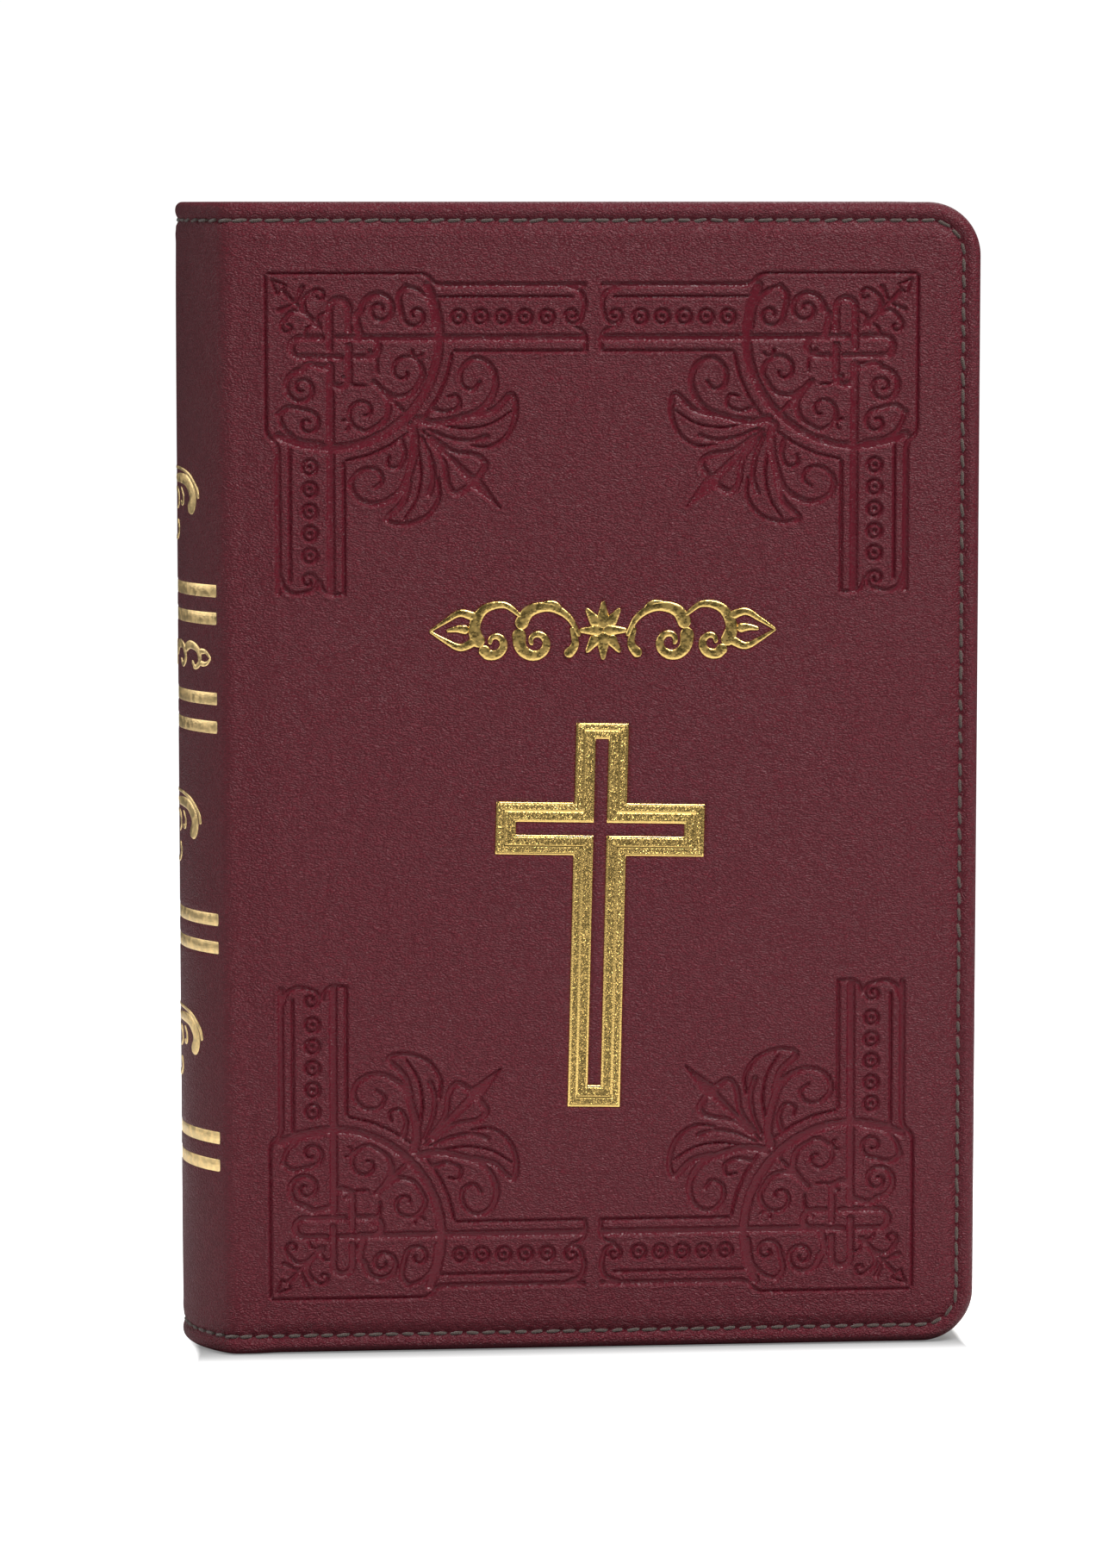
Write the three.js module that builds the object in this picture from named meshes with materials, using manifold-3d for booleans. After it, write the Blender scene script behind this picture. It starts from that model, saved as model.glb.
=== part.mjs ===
// A leather-bound devotional book, standing on its tail edge: two padded covers that swing on the joints of a
// rounded spine, and a sewn block of leaves that fans open behind each cover. Millimetres, +Z from tail to
// head, +X from the spine to the fore-edge, and the front cover faces -Y. The origin is the middle of the
// standing edge.
import * as THREE from "three";
import { mergeVertices } from "three/addons/utils/BufferGeometryUtils.js";
import Module from "manifold-3d";

// ---- Overall sizes ----
const COVER_HEIGHT = 205; // head to tail
const COVER_WIDTH = 134; // joint to fore-edge
const BOOK_THICKNESS = 36; // over both covers
const SPINE_BULGE = 8; // how far the spine stands behind the joints

// ---- Cover: leather outside, then padding, board and lining in its pocket ----
const LEATHER = 1.2;
const PADDING = 0.9;
const BOARD = 1.1;
const LINING = 0.5;
const PLY_GAP = 0.1; // glue line between plies, and round their edges
const TURN_IN = 6; // width of the leather folded over the cover's edges
const FORE_CORNER_RADIUS = 9.5;
const HINGE_STRIP = 4; // bare leather between the joint and the boards
const JOINT_GAP = 0.3; // between the cover's leather and the spine's

// ---- Edge seam ----
const THREAD = 0.6; // thickness of the thread, and width of its run
const SEAM_INSET = 3.2; // from the cover's edges
const GROOVE_CLEARANCE = 0.1; // round the thread in its groove

// ---- Leaves ----
const SQUARE = 4; // how far the covers stand past the leaves
const BLOCK_CLEARANCE = 0.4; // between the linings and the leaves
const FLYLEAF = 0.4;
const FAN_THICKNESS = 3; // of each block of leaves that fans open
const FAN_BLOCKS = 3; // on each side of the middle leaves
const LEAF_GAP = 0.3;
const FORE_EDGE_HOLLOW = 3; // depth of the hollow fore-edge
const LEAF_CORNER_RADIUS = 7;

// ---- Spine ----
const SPINE_CARD = 0.8;
const MULL = 0.5;
const SPINE_GAP = 0.2; // between leather, card, mull and sewn back
const CARD_EDGE_MARGIN = 2; // of the card, from the joints
const MULL_END_MARGIN = 10; // of the mull, from the ends of the leaves
const ENDBAND_HEIGHT = 1.6;
const ENDBAND_DEPTH = 1.8;
const ENDBAND_EDGE_MARGIN = 2; // from the faces of the sewn back

// ---- Gold foil, pressed into the leather ----
const FOIL = 0.2;
const FOIL_SINK = 0.05; // of the foil's face below the leather's
const FOIL_BED_CLEARANCE = 0.1; // under the foil
const FOIL_EDGE_CLEARANCE = 0.15; // round the foil
const CROSS_HEIGHT = 69;
const CROSS_SPAN = 37.4;
const CROSS_ARM = 9.5; // width of each arm
const CROSS_SLOT = 2.2; // width of the leather left showing along the arms
const CROSS_SLOT_HEAD_MARGIN = 2.9;
const CROSS_SLOT_FOOT_MARGIN = 4;
const CROSS_SLOT_END_MARGIN = 3.7; // at both ends of the bar
const CROSS_HEAD_TO_BAR = 19; // head of the cross to the middle of its bar
const CROSS_FROM_JOINT = 66;
const CROSS_BAR_FROM_HEAD = 111;
const CROSS_LEAN = THREE.MathUtils.degToRad(1.3); // the stamp stands a little off square
const FLOURISH_LENGTH = 62;
const FLOURISH_HEIGHT = 10.6;
const FLOURISH_STEM = 1.2;
const FLOURISH_BEADS = 5;
const FLOURISH_FROM_JOINT = 66.5;
const FLOURISH_FROM_HEAD = 75.5;
const BAND_HEIGHT = 2.2;
const BAND_END_MARGIN = 1.5; // of each band, from the joints
const BANDS_FROM_HEAD = [68.3, 73.2, 87.4, 92.5, 126.8, 131.8, 166, 171];
const FLEURON_HEIGHT = 13.4;
const FLEURON_WIDTH = 24; // as seen from straight behind
const FLEURONS_FROM_HEAD = [53.4, 111.3, 150.2];
const SPINE_FLOURISH_LENGTH = 31;
const SPINE_FLOURISH_HEIGHT = 5.2;
const SPINE_FLOURISH_STEM = 1;
const SPINE_FLOURISH_BEADS = 5;
const SPINE_FLOURISH_FROM_HEAD = 80.3;

// ---- Worked out from the sizes above ----
const OVERRUN = 1; // how far a cutter runs past the face it cuts
const ROUND_SEGMENTS = 5; // per stretch of arc, which three.js doubles
const SPINE_SEGMENTS = 9;
const HOLLOW_STEPS = 4; // across the fore-edge of each block of leaves
const JOINT_X = SPINE_BULGE - (COVER_WIDTH + SPINE_BULGE) / 2;
const FORE_X = JOINT_X + COVER_WIDTH;
const HALF_THICKNESS = BOOK_THICKNESS / 2;
const COVER_THICKNESS = LEATHER + PADDING + BOARD + LINING + 3 * PLY_GAP;
const BOARD_X = JOINT_X + HINGE_STRIP;
const HALF_BLOCK = HALF_THICKNESS - COVER_THICKNESS - BLOCK_CLEARANCE;
const LEAF_FORE_X = FORE_X - SQUARE;
const LEAF_HEIGHT = COVER_HEIGHT - 2 * SQUARE;
const SPINE_RADIUS = (HALF_THICKNESS ** 2 + SPINE_BULGE ** 2) / (2 * SPINE_BULGE);
const SPINE_CENTRE_X = JOINT_X - SPINE_BULGE + SPINE_RADIUS;
const CARD_RADIUS = SPINE_RADIUS - LEATHER - SPINE_GAP;
const MULL_RADIUS = CARD_RADIUS - SPINE_CARD - SPINE_GAP;
const BACK_RADIUS = MULL_RADIUS - MULL - SPINE_GAP;
const MIDDLE_THICKNESS = 2 * (HALF_BLOCK - FLYLEAF - LEAF_GAP - FAN_BLOCKS * (FAN_THICKNESS + LEAF_GAP));
const HOLLOW_RADIUS = (HALF_BLOCK ** 2 + FORE_EDGE_HOLLOW ** 2) / (2 * FORE_EDGE_HOLLOW);
const HOLLOW_CENTRE_X = LEAF_FORE_X - FORE_EDGE_HOLLOW + HOLLOW_RADIUS;
const FOIL_BED = FOIL_SINK + FOIL + FOIL_BED_CLEARANCE; // depth of the foil's bed in the leather

const LEATHER_LOOK = { color: 0x5b2b31, roughness: 0.45, metalness: 0 };
const THREAD_LOOK = { color: 0x463c3a, roughness: 0.8, metalness: 0 };
const FOIL_LOOK = { color: 0xd8b66a, roughness: 0.3, metalness: 1 };
const FOAM_LOOK = { color: 0xd9d4c8, roughness: 0.95, metalness: 0 };
const BOARD_LOOK = { color: 0x8f8577, roughness: 0.9, metalness: 0 };
const LINING_LOOK = { color: 0xe6dcc6, roughness: 0.85, metalness: 0 };
const CLOTH_LOOK = { color: 0xe4e0d4, roughness: 0.95, metalness: 0 };
const ENDBAND_LOOK = { color: 0x7a2631, roughness: 0.7, metalness: 0 };
const PAPER_LOOK = { color: 0xf1ead8, roughness: 0.85, metalness: 0 };

const wasm = await Module();
wasm.setup();

// ---- Solids and booleans ----

// A closed geometry as a solid that manifold-3d can join and cut.
function solidOf(geometry) {
  const bare = geometry.clone();
  bare.deleteAttribute("normal");
  bare.deleteAttribute("uv");
  const merged = mergeVertices(bare, 1e-4);
  return new wasm.Manifold(
    new wasm.Mesh({
      numProp: 3,
      vertProperties: merged.attributes.position.array,
      triVerts: new Uint32Array(merged.index.array),
    }),
  );
}

function geometryOf(solid) {
  const { vertProperties, triVerts } = solid.getMesh();
  const geometry = new THREE.BufferGeometry();
  geometry.setAttribute("position", new THREE.BufferAttribute(new Float32Array(vertProperties), 3));
  geometry.setIndex(new THREE.BufferAttribute(new Uint32Array(triVerts), 1));
  geometry.computeVertexNormals();
  return geometry;
}

function cut(geometry, cutters) {
  return geometryOf(cutters.reduce((body, cutter) => body.subtract(solidOf(cutter)), solidOf(geometry)));
}

function common(a, b) {
  return geometryOf(solidOf(a).intersect(solidOf(b)));
}

function extrude(shape, depth) {
  return new THREE.ExtrudeGeometry(shape, { depth, bevelEnabled: false, curveSegments: SPINE_SEGMENTS });
}

// A plate drawn in X and Z, from yLow through its thickness along +Y.
function plate(shape, yLow, thickness) {
  return extrude(shape, thickness)
    .rotateX(Math.PI / 2)
    .translate(0, yLow + thickness, 0);
}

// A column drawn in X and Y, from zLow up.
function column(shape, zLow, height) {
  return extrude(shape, height).translate(0, 0, zLow);
}

// A bar drawn in Y and Z that runs along X right through the spine's curve.
function barThroughSpine(shape) {
  const turn = new THREE.Matrix4().makeBasis(
    new THREE.Vector3(0, 1, 0),
    new THREE.Vector3(0, 0, 1),
    new THREE.Vector3(1, 0, 0),
  );
  return extrude(shape, SPINE_BULGE + 2 * OVERRUN)
    .applyMatrix4(turn)
    .translate(JOINT_X - SPINE_BULGE - OVERRUN, 0, 0);
}

// ---- Outlines ----

function mirrored(points) {
  return points.map((p) => new THREE.Vector2(-p.x, p.y)).reverse();
}

function placed(points, x, y, turn = 0) {
  const centre = new THREE.Vector2();
  return points.map((p) => p.clone().rotateAround(centre, turn).add(new THREE.Vector2(x, y)));
}

// The outline moved outwards by a distance, or inwards where it is negative. The points run anticlockwise.
function grown(points, distance) {
  return points.map((p, i) => {
    const before = points[(i + points.length - 1) % points.length];
    const after = points[(i + 1) % points.length];
    const into = p.clone().sub(before).normalize();
    const away = after.clone().sub(p).normalize();
    const normals = new THREE.Vector2(into.y + away.y, -into.x - away.x);
    return p.clone().add(normals.multiplyScalar(distance / (1 + into.dot(away))));
  });
}

function shapeOf(outline, hole) {
  const shape = new THREE.Shape(outline);
  if (hole) shape.holes.push(new THREE.Path(hole));
  return shape;
}

// The cover's edge line from the joint along the tail, up the fore-edge and back along the head.
function rimLine(inset, xStart) {
  const radius = FORE_CORNER_RADIUS - inset;
  const line = new THREE.Path();
  line.moveTo(xStart, inset);
  line.lineTo(FORE_X - inset - radius, inset);
  line.absarc(FORE_X - inset - radius, inset + radius, radius, -Math.PI / 2, 0, false);
  line.absarc(FORE_X - inset - radius, COVER_HEIGHT - inset - radius, radius, 0, Math.PI / 2, false);
  line.lineTo(xStart, COVER_HEIGHT - inset);
  return line.getPoints(ROUND_SEGMENTS);
}

function seamShape(width, xStart) {
  const outer = rimLine(SEAM_INSET - width / 2, xStart);
  const inner = rimLine(SEAM_INSET + width / 2, xStart);
  return shapeOf([...outer, ...inner.reverse()]);
}

// A Latin cross with its bar's middle at the origin.
function crossOutline(arm, left, right, up, down) {
  const half = arm / 2;
  return [
    [-half, -down],
    [half, -down],
    [half, -half],
    [right, -half],
    [right, half],
    [half, half],
    [half, up],
    [-half, up],
    [-half, half],
    [-left, half],
    [-left, -half],
    [-half, -half],
  ].map(([x, y]) => new THREE.Vector2(x, y));
}

// A level stem with a row of lozenges on it, the middle one the tallest.
function flourishOutline(length, height, stem, beads) {
  const pitch = length / beads;
  const lower = [new THREE.Vector2(-length / 2, -stem / 2)];
  for (let i = 0; i < beads; i += 1) {
    const x = (i - (beads - 1) / 2) * pitch;
    const drop = (height / 2) * (1 - Math.abs(x) / length);
    const reach = pitch / 3;
    lower.push(
      new THREE.Vector2(x - reach, -stem / 2),
      new THREE.Vector2(x, -drop),
      new THREE.Vector2(x + reach, -stem / 2),
    );
  }
  lower.push(new THREE.Vector2(length / 2, -stem / 2));
  return [...lower, ...lower.map((p) => new THREE.Vector2(p.x, -p.y)).reverse()];
}

// Two scrolls that spring from a bud: the right half's points, from the foot up, as parts of its size.
function fleuronOutline(width, height) {
  const right = [
    [0.12, -0.5],
    [0.34, -0.34],
    [0.22, -0.12],
    [0.3, 0.02],
    [0.66, -0.06],
    [1, 0.14],
    [0.9, 0.36],
    [0.5, 0.5],
  ].map(([x, y]) => new THREE.Vector2((x * width) / 2, y * height));
  return [...right, ...mirrored(right)];
}

// The part of a ring about the spine's centre, to a half angle from straight back.
function spineArc(outer, inner, halfAngle) {
  const arc = new THREE.Shape();
  arc.absarc(SPINE_CENTRE_X, 0, outer, Math.PI - halfAngle, Math.PI + halfAngle, false);
  arc.absarc(SPINE_CENTRE_X, 0, inner, Math.PI + halfAngle, Math.PI - halfAngle, true);
  return arc;
}

// The half angle at which a ring about the spine's centre meets the plane of the joints, less a margin.
function jointAngle(radius, margin = 0) {
  return Math.acos((SPINE_RADIUS - SPINE_BULGE) / radius) - margin / radius;
}

// ---- The scene graph ----

const book = new THREE.Group();

function addTo(parent, name, geometry, look) {
  const mesh = new THREE.Mesh(geometry, new THREE.MeshStandardMaterial(look));
  mesh.name = name;
  parent.add(mesh);
}

// ---- Gold foil ----

// Each foil of the front cover has its outline, an optional hole, and its name.
const frontFoils = [
  {
    name: "cross_foil",
    outline: crossOutline(
      CROSS_ARM,
      CROSS_SPAN / 2,
      CROSS_SPAN / 2,
      CROSS_HEAD_TO_BAR,
      CROSS_HEIGHT - CROSS_HEAD_TO_BAR,
    ),
    hole: crossOutline(
      CROSS_SLOT,
      CROSS_SPAN / 2 - CROSS_SLOT_END_MARGIN,
      CROSS_SPAN / 2 - CROSS_SLOT_END_MARGIN,
      CROSS_HEAD_TO_BAR - CROSS_SLOT_HEAD_MARGIN,
      CROSS_HEIGHT - CROSS_HEAD_TO_BAR - CROSS_SLOT_FOOT_MARGIN,
    ),
    x: JOINT_X + CROSS_FROM_JOINT,
    z: COVER_HEIGHT - CROSS_BAR_FROM_HEAD,
    lean: -CROSS_LEAN,
  },
  {
    name: "cover_flourish",
    outline: flourishOutline(FLOURISH_LENGTH, FLOURISH_HEIGHT, FLOURISH_STEM, FLOURISH_BEADS),
    hole: null,
    x: JOINT_X + FLOURISH_FROM_JOINT,
    z: COVER_HEIGHT - FLOURISH_FROM_HEAD,
    lean: 0,
  },
];

function frontFoilShape({ outline, hole, x, z, lean }, clearance) {
  const outside = placed(grown(outline, clearance), x, z, lean);
  return shapeOf(outside, hole && placed(grown(hole, -clearance), x, z, lean));
}

// ---- Covers, each drawn as the front one ----

// The leather: a skin whose edges are turned in round a pocket, with a groove for the seam.
function coverLeather(foils) {
  const outside = -HALF_THICKNESS;
  const body = plate(shapeOf(rimLine(0, JOINT_X + JOINT_GAP)), outside, COVER_THICKNESS);
  const pocketDepth = COVER_THICKNESS - LEATHER + OVERRUN;
  const pocket = plate(shapeOf(rimLine(TURN_IN, BOARD_X - OVERRUN)), outside + LEATHER, pocketDepth);
  const stripWidth = HINGE_STRIP + OVERRUN;
  const strip = new THREE.BoxGeometry(stripWidth, pocketDepth, COVER_HEIGHT + 2 * OVERRUN).translate(
    BOARD_X - stripWidth / 2,
    outside + LEATHER + pocketDepth / 2,
    COVER_HEIGHT / 2,
  );
  const groove = plate(
    seamShape(THREAD + 2 * GROOVE_CLEARANCE, JOINT_X - OVERRUN),
    outside - OVERRUN,
    OVERRUN + THREAD + GROOVE_CLEARANCE,
  );
  const beds = foils.map((foil) =>
    plate(frontFoilShape(foil, FOIL_EDGE_CLEARANCE), outside - OVERRUN, OVERRUN + FOIL_BED),
  );
  return cut(body, [pocket, strip, groove, ...beds]);
}

function ply(yLow, thickness) {
  return plate(shapeOf(rimLine(TURN_IN + PLY_GAP, BOARD_X + PLY_GAP)), yLow, thickness);
}

function makeCover(side, foils) {
  const cover = new THREE.Group();
  const paddingY = -HALF_THICKNESS + LEATHER + PLY_GAP;
  const boardY = paddingY + PADDING + PLY_GAP;
  const liningY = boardY + BOARD + PLY_GAP;
  addTo(cover, `${side}_cover_leather`, coverLeather(foils), LEATHER_LOOK);
  addTo(cover, `${side}_padding`, ply(paddingY, PADDING), FOAM_LOOK);
  addTo(cover, `${side}_board`, ply(boardY, BOARD), BOARD_LOOK);
  addTo(cover, `${side}_lining`, ply(liningY, LINING), LINING_LOOK);
  const seam = seamShape(THREAD, JOINT_X + JOINT_GAP);
  addTo(cover, `${side}_seam_thread`, plate(seam, -HALF_THICKNESS, THREAD), THREAD_LOOK);
  for (const foil of foils) {
    addTo(cover, foil.name, plate(frontFoilShape(foil, 0), -HALF_THICKNESS + FOIL_SINK, FOIL), FOIL_LOOK);
  }
  book.add(cover);
  return cover;
}

makeCover("front", frontFoils);
makeCover("back", []).scale.y = -1; // the back cover is the front's mirror image

// ---- Leaves ----

// The hollow of the fore-edge, in the plane of X and Y.
function foreEdgeX(y) {
  return HOLLOW_CENTRE_X - Math.sqrt(HOLLOW_RADIUS ** 2 - y ** 2);
}

// The leaves as seen from the front: square at the gutter, with rounded fore-edge corners.
function leafFace() {
  const radius = LEAF_CORNER_RADIUS;
  const top = SQUARE + LEAF_HEIGHT;
  const face = new THREE.Shape();
  face.moveTo(BOARD_X, SQUARE);
  face.lineTo(LEAF_FORE_X - radius, SQUARE);
  face.absarc(LEAF_FORE_X - radius, SQUARE + radius, radius, -Math.PI / 2, 0, false);
  face.absarc(LEAF_FORE_X - radius, top - radius, radius, 0, Math.PI / 2, false);
  face.lineTo(BOARD_X, top);
  return shapeOf(face.getPoints(ROUND_SEGMENTS));
}

function leaves(yLow, thickness) {
  const outline = [new THREE.Vector2(BOARD_X - OVERRUN, yLow)];
  for (let i = 0; i <= HOLLOW_STEPS; i += 1) {
    const y = yLow + (thickness * i) / HOLLOW_STEPS;
    outline.push(new THREE.Vector2(foreEdgeX(y), y));
  }
  outline.push(new THREE.Vector2(BOARD_X - OVERRUN, yLow + thickness));
  const swept = column(shapeOf(outline), SQUARE - OVERRUN, LEAF_HEIGHT + 2 * OVERRUN);
  return common(swept, plate(leafFace(), yLow - OVERRUN, thickness + 2 * OVERRUN));
}

function makeFan(side) {
  const fan = new THREE.Group();
  addTo(fan, `${side}_flyleaf`, leaves(-HALF_BLOCK, FLYLEAF), PAPER_LOOK);
  for (let i = 0; i < FAN_BLOCKS; i += 1) {
    const yLow = -HALF_BLOCK + FLYLEAF + LEAF_GAP + i * (FAN_THICKNESS + LEAF_GAP);
    addTo(fan, `${side}_leaves_${i + 1}`, leaves(yLow, FAN_THICKNESS), PAPER_LOOK);
  }
  book.add(fan);
  return fan;
}

makeFan("front");
makeFan("back").scale.y = -1;

addTo(book, "middle_leaves", leaves(-MIDDLE_THICKNESS / 2, MIDDLE_THICKNESS), PAPER_LOOK);

// The sewn and glued rear of all the leaves, rounded at the back and square at the gutter.
function sewnBack() {
  const halfAngle = Math.asin(HALF_BLOCK / BACK_RADIUS);
  const outline = new THREE.Shape();
  outline.absarc(SPINE_CENTRE_X, 0, BACK_RADIUS, Math.PI - halfAngle, Math.PI + halfAngle, false);
  outline.lineTo(BOARD_X, -HALF_BLOCK);
  outline.lineTo(BOARD_X, HALF_BLOCK);
  return column(outline, SQUARE, LEAF_HEIGHT);
}

addTo(book, "sewn_back", sewnBack(), PAPER_LOOK);

// ---- Spine ----

const spine = new THREE.Group();
book.add(spine);

function spineLeather(beds) {
  const skin = new THREE.Shape();
  const outer = jointAngle(SPINE_RADIUS);
  const inner = jointAngle(SPINE_RADIUS - LEATHER);
  skin.absarc(SPINE_CENTRE_X, 0, SPINE_RADIUS, Math.PI - outer, Math.PI + outer, false);
  skin.absarc(SPINE_CENTRE_X, 0, SPINE_RADIUS - LEATHER, Math.PI + inner, Math.PI - inner, true);
  return cut(column(skin, 0, COVER_HEIGHT), beds);
}

// A strip across the spine from one joint to the other, centred on its height.
function spineStrip(outer, inner, margin, z, height) {
  return column(spineArc(outer, inner, jointAngle(SPINE_RADIUS, margin)), z - height / 2, height);
}

function spineFoil(outline, z) {
  const shell = spineStrip(SPINE_RADIUS - FOIL_SINK, SPINE_RADIUS - FOIL_SINK - FOIL, 0, z, COVER_HEIGHT);
  return common(barThroughSpine(shapeOf(placed(outline, 0, z))), shell);
}

function spineFoilBed(outline, z) {
  const shell = spineStrip(SPINE_RADIUS + OVERRUN, SPINE_RADIUS - FOIL_BED, 0, z, COVER_HEIGHT);
  return common(barThroughSpine(shapeOf(placed(grown(outline, FOIL_EDGE_CLEARANCE), 0, z))), shell);
}

const beds = [];

BANDS_FROM_HEAD.forEach((fromHead, i) => {
  const z = COVER_HEIGHT - fromHead;
  const face = SPINE_RADIUS - FOIL_SINK;
  const band = spineStrip(face, face - FOIL, BAND_END_MARGIN, z, BAND_HEIGHT);
  addTo(spine, `spine_band_${i + 1}`, band, FOIL_LOOK);
  beds.push(
    spineStrip(
      SPINE_RADIUS + OVERRUN,
      SPINE_RADIUS - FOIL_BED,
      BAND_END_MARGIN - FOIL_EDGE_CLEARANCE,
      z,
      BAND_HEIGHT + 2 * FOIL_EDGE_CLEARANCE,
    ),
  );
});

const fleuron = fleuronOutline(FLEURON_WIDTH, FLEURON_HEIGHT);
FLEURONS_FROM_HEAD.forEach((fromHead, i) => {
  const z = COVER_HEIGHT - fromHead;
  addTo(spine, `spine_fleuron_${i + 1}`, spineFoil(fleuron, z), FOIL_LOOK);
  beds.push(spineFoilBed(fleuron, z));
});

const spineFlourish = flourishOutline(
  SPINE_FLOURISH_LENGTH,
  SPINE_FLOURISH_HEIGHT,
  SPINE_FLOURISH_STEM,
  SPINE_FLOURISH_BEADS,
);
const spineFlourishZ = COVER_HEIGHT - SPINE_FLOURISH_FROM_HEAD;
addTo(spine, "spine_flourish", spineFoil(spineFlourish, spineFlourishZ), FOIL_LOOK);
beds.push(spineFoilBed(spineFlourish, spineFlourishZ));

for (const [name, z] of [
  ["spine_head_seam", COVER_HEIGHT - SEAM_INSET],
  ["spine_tail_seam", SEAM_INSET],
]) {
  addTo(spine, name, spineStrip(SPINE_RADIUS, SPINE_RADIUS - THREAD, JOINT_GAP, z, THREAD), THREAD_LOOK);
  beds.push(
    spineStrip(
      SPINE_RADIUS + OVERRUN,
      SPINE_RADIUS - THREAD - GROOVE_CLEARANCE,
      0,
      z,
      THREAD + 2 * GROOVE_CLEARANCE,
    ),
  );
}

addTo(spine, "spine_leather", spineLeather(beds), LEATHER_LOOK);

const cardAngle = jointAngle(CARD_RADIUS, CARD_EDGE_MARGIN);
addTo(
  spine,
  "spine_inlay",
  column(spineArc(CARD_RADIUS, CARD_RADIUS - SPINE_CARD, cardAngle), SQUARE, LEAF_HEIGHT),
  BOARD_LOOK,
);

const backAngle = Math.asin(HALF_BLOCK / BACK_RADIUS);
const mullHeight = LEAF_HEIGHT - 2 * MULL_END_MARGIN;
addTo(
  spine,
  "spine_mull",
  column(spineArc(MULL_RADIUS, MULL_RADIUS - MULL, backAngle), SQUARE + MULL_END_MARGIN, mullHeight),
  CLOTH_LOOK,
);

const endbandAngle = backAngle - ENDBAND_EDGE_MARGIN / BACK_RADIUS;
const endband = spineArc(BACK_RADIUS, BACK_RADIUS - ENDBAND_DEPTH, endbandAngle);
addTo(spine, "headband", column(endband, SQUARE + LEAF_HEIGHT, ENDBAND_HEIGHT), ENDBAND_LOOK);
addTo(spine, "tailband", column(endband, SQUARE - ENDBAND_HEIGHT, ENDBAND_HEIGHT), ENDBAND_LOOK);

export default book;
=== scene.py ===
"""A leather-bound devotional book: padded covers with stamped corner ornaments, a stitched edge, a gold
cross and scrolls, a gilt spine, and blocks of leaves behind each cover."""
import math

import bpy
import numpy as np
from mathutils import Matrix, Vector


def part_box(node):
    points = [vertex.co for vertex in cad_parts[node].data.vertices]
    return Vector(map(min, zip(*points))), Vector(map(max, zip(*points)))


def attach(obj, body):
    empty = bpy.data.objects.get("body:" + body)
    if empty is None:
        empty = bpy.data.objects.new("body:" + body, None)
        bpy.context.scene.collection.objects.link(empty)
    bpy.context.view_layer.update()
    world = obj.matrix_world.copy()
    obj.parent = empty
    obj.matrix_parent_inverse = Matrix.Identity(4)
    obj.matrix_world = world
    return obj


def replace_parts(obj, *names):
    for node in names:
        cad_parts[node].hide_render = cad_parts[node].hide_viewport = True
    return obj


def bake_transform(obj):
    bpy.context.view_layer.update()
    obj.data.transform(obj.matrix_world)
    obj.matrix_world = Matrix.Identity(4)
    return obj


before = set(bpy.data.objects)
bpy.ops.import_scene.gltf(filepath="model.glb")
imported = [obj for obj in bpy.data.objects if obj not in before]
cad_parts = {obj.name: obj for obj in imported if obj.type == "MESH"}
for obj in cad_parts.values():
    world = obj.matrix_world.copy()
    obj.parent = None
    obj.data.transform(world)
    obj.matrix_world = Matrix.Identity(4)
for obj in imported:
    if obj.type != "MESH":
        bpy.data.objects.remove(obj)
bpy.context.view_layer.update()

bl_info = {
    "name": "Leather Devotional Book",
    "version": (1, 0, 0),
    "blender": (4, 5, 0),
    "location": "3D View > Sidebar > Book",
    "description": "Builds a stitched leather book with stamped ornaments, gilding and opening leaves",
    "category": "Add Mesh",
}

MM = 0.001

# ---- Places taken from the frame, in millimetres ----


def box_mm(node):
    low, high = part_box(node)
    return low / MM, high / MM


cover_low, cover_high = box_mm("front_cover_leather")
spine_low, spine_high = box_mm("spine_leather")
board_low = box_mm("front_board")[0]
lining_low, lining_high = box_mm("front_lining")
scroll_low, scroll_high = box_mm("cover_flourish")

HEIGHT = cover_high.z
FORE = cover_high.x
FACE = -cover_low.y  # half the thickness over both covers
INSIDE = -cover_high.y  # from the middle to a cover's inner face
JOINT = spine_high.x
CREST = spine_low.x
BULGE = JOINT - CREST
SPINE_RADIUS = (FACE**2 + BULGE**2) / (2 * BULGE)
SPINE_CENTRE = CREST + SPINE_RADIUS
JOINT_ANGLE = math.asin(FACE / SPINE_RADIUS)
BOARD_EDGE = board_low.x - 0.1  # where the boards start, beside the joint
TURN_IN = board_low.z - 0.1
CORNER = 9.5
FIELD_INSET = 8.0  # where the edge roll ends and the cover's field starts
SKIN = 1.2
TAIL_SQUARE = box_mm("middle_leaves")[0].z


# ---- Sizes and colours that a user may change ----


def size_property(name, millimetres, description):
    return bpy.props.FloatProperty(name=name, description=description, default=millimetres * MM, unit="LENGTH")


def colour_property(name, shade, description):
    return bpy.props.FloatVectorProperty(
        name=name, description=description, default=shade, size=3, subtype="COLOR")


def power_property(name, watts, description):
    return bpy.props.FloatProperty(name=name, description=description, default=watts, unit="POWER")


class BookSizes(bpy.types.PropertyGroup):
    stitch_pitch: size_property("Stitch Pitch", 2.9, "From one stitch to the next")
    stitch_length: size_property("Stitch Length", 2.65, "Thread seen between two holes")
    thread_radius: size_property("Thread Radius", 0.29, "Half the thread's thickness")
    seam_inset: size_property("Seam Inset", 3.2, "From the cover's edge to the stitches")
    seam_depth: size_property("Seam Depth", 0.30, "How far the stitches pull the leather in")
    padding_rise: size_property("Padding Rise", 0.95, "Swell of the padded leather inside the seam")
    stamp_depth: size_property("Stamp Depth", 0.42, "Depth of the pressed ornaments")
    stamp_wall: size_property("Stamp Wall", 0.44, "Width of a groove's sloping wall")
    field_step: size_property("Field Step", 0.215, "Mesh spacing under the ornaments")


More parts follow.
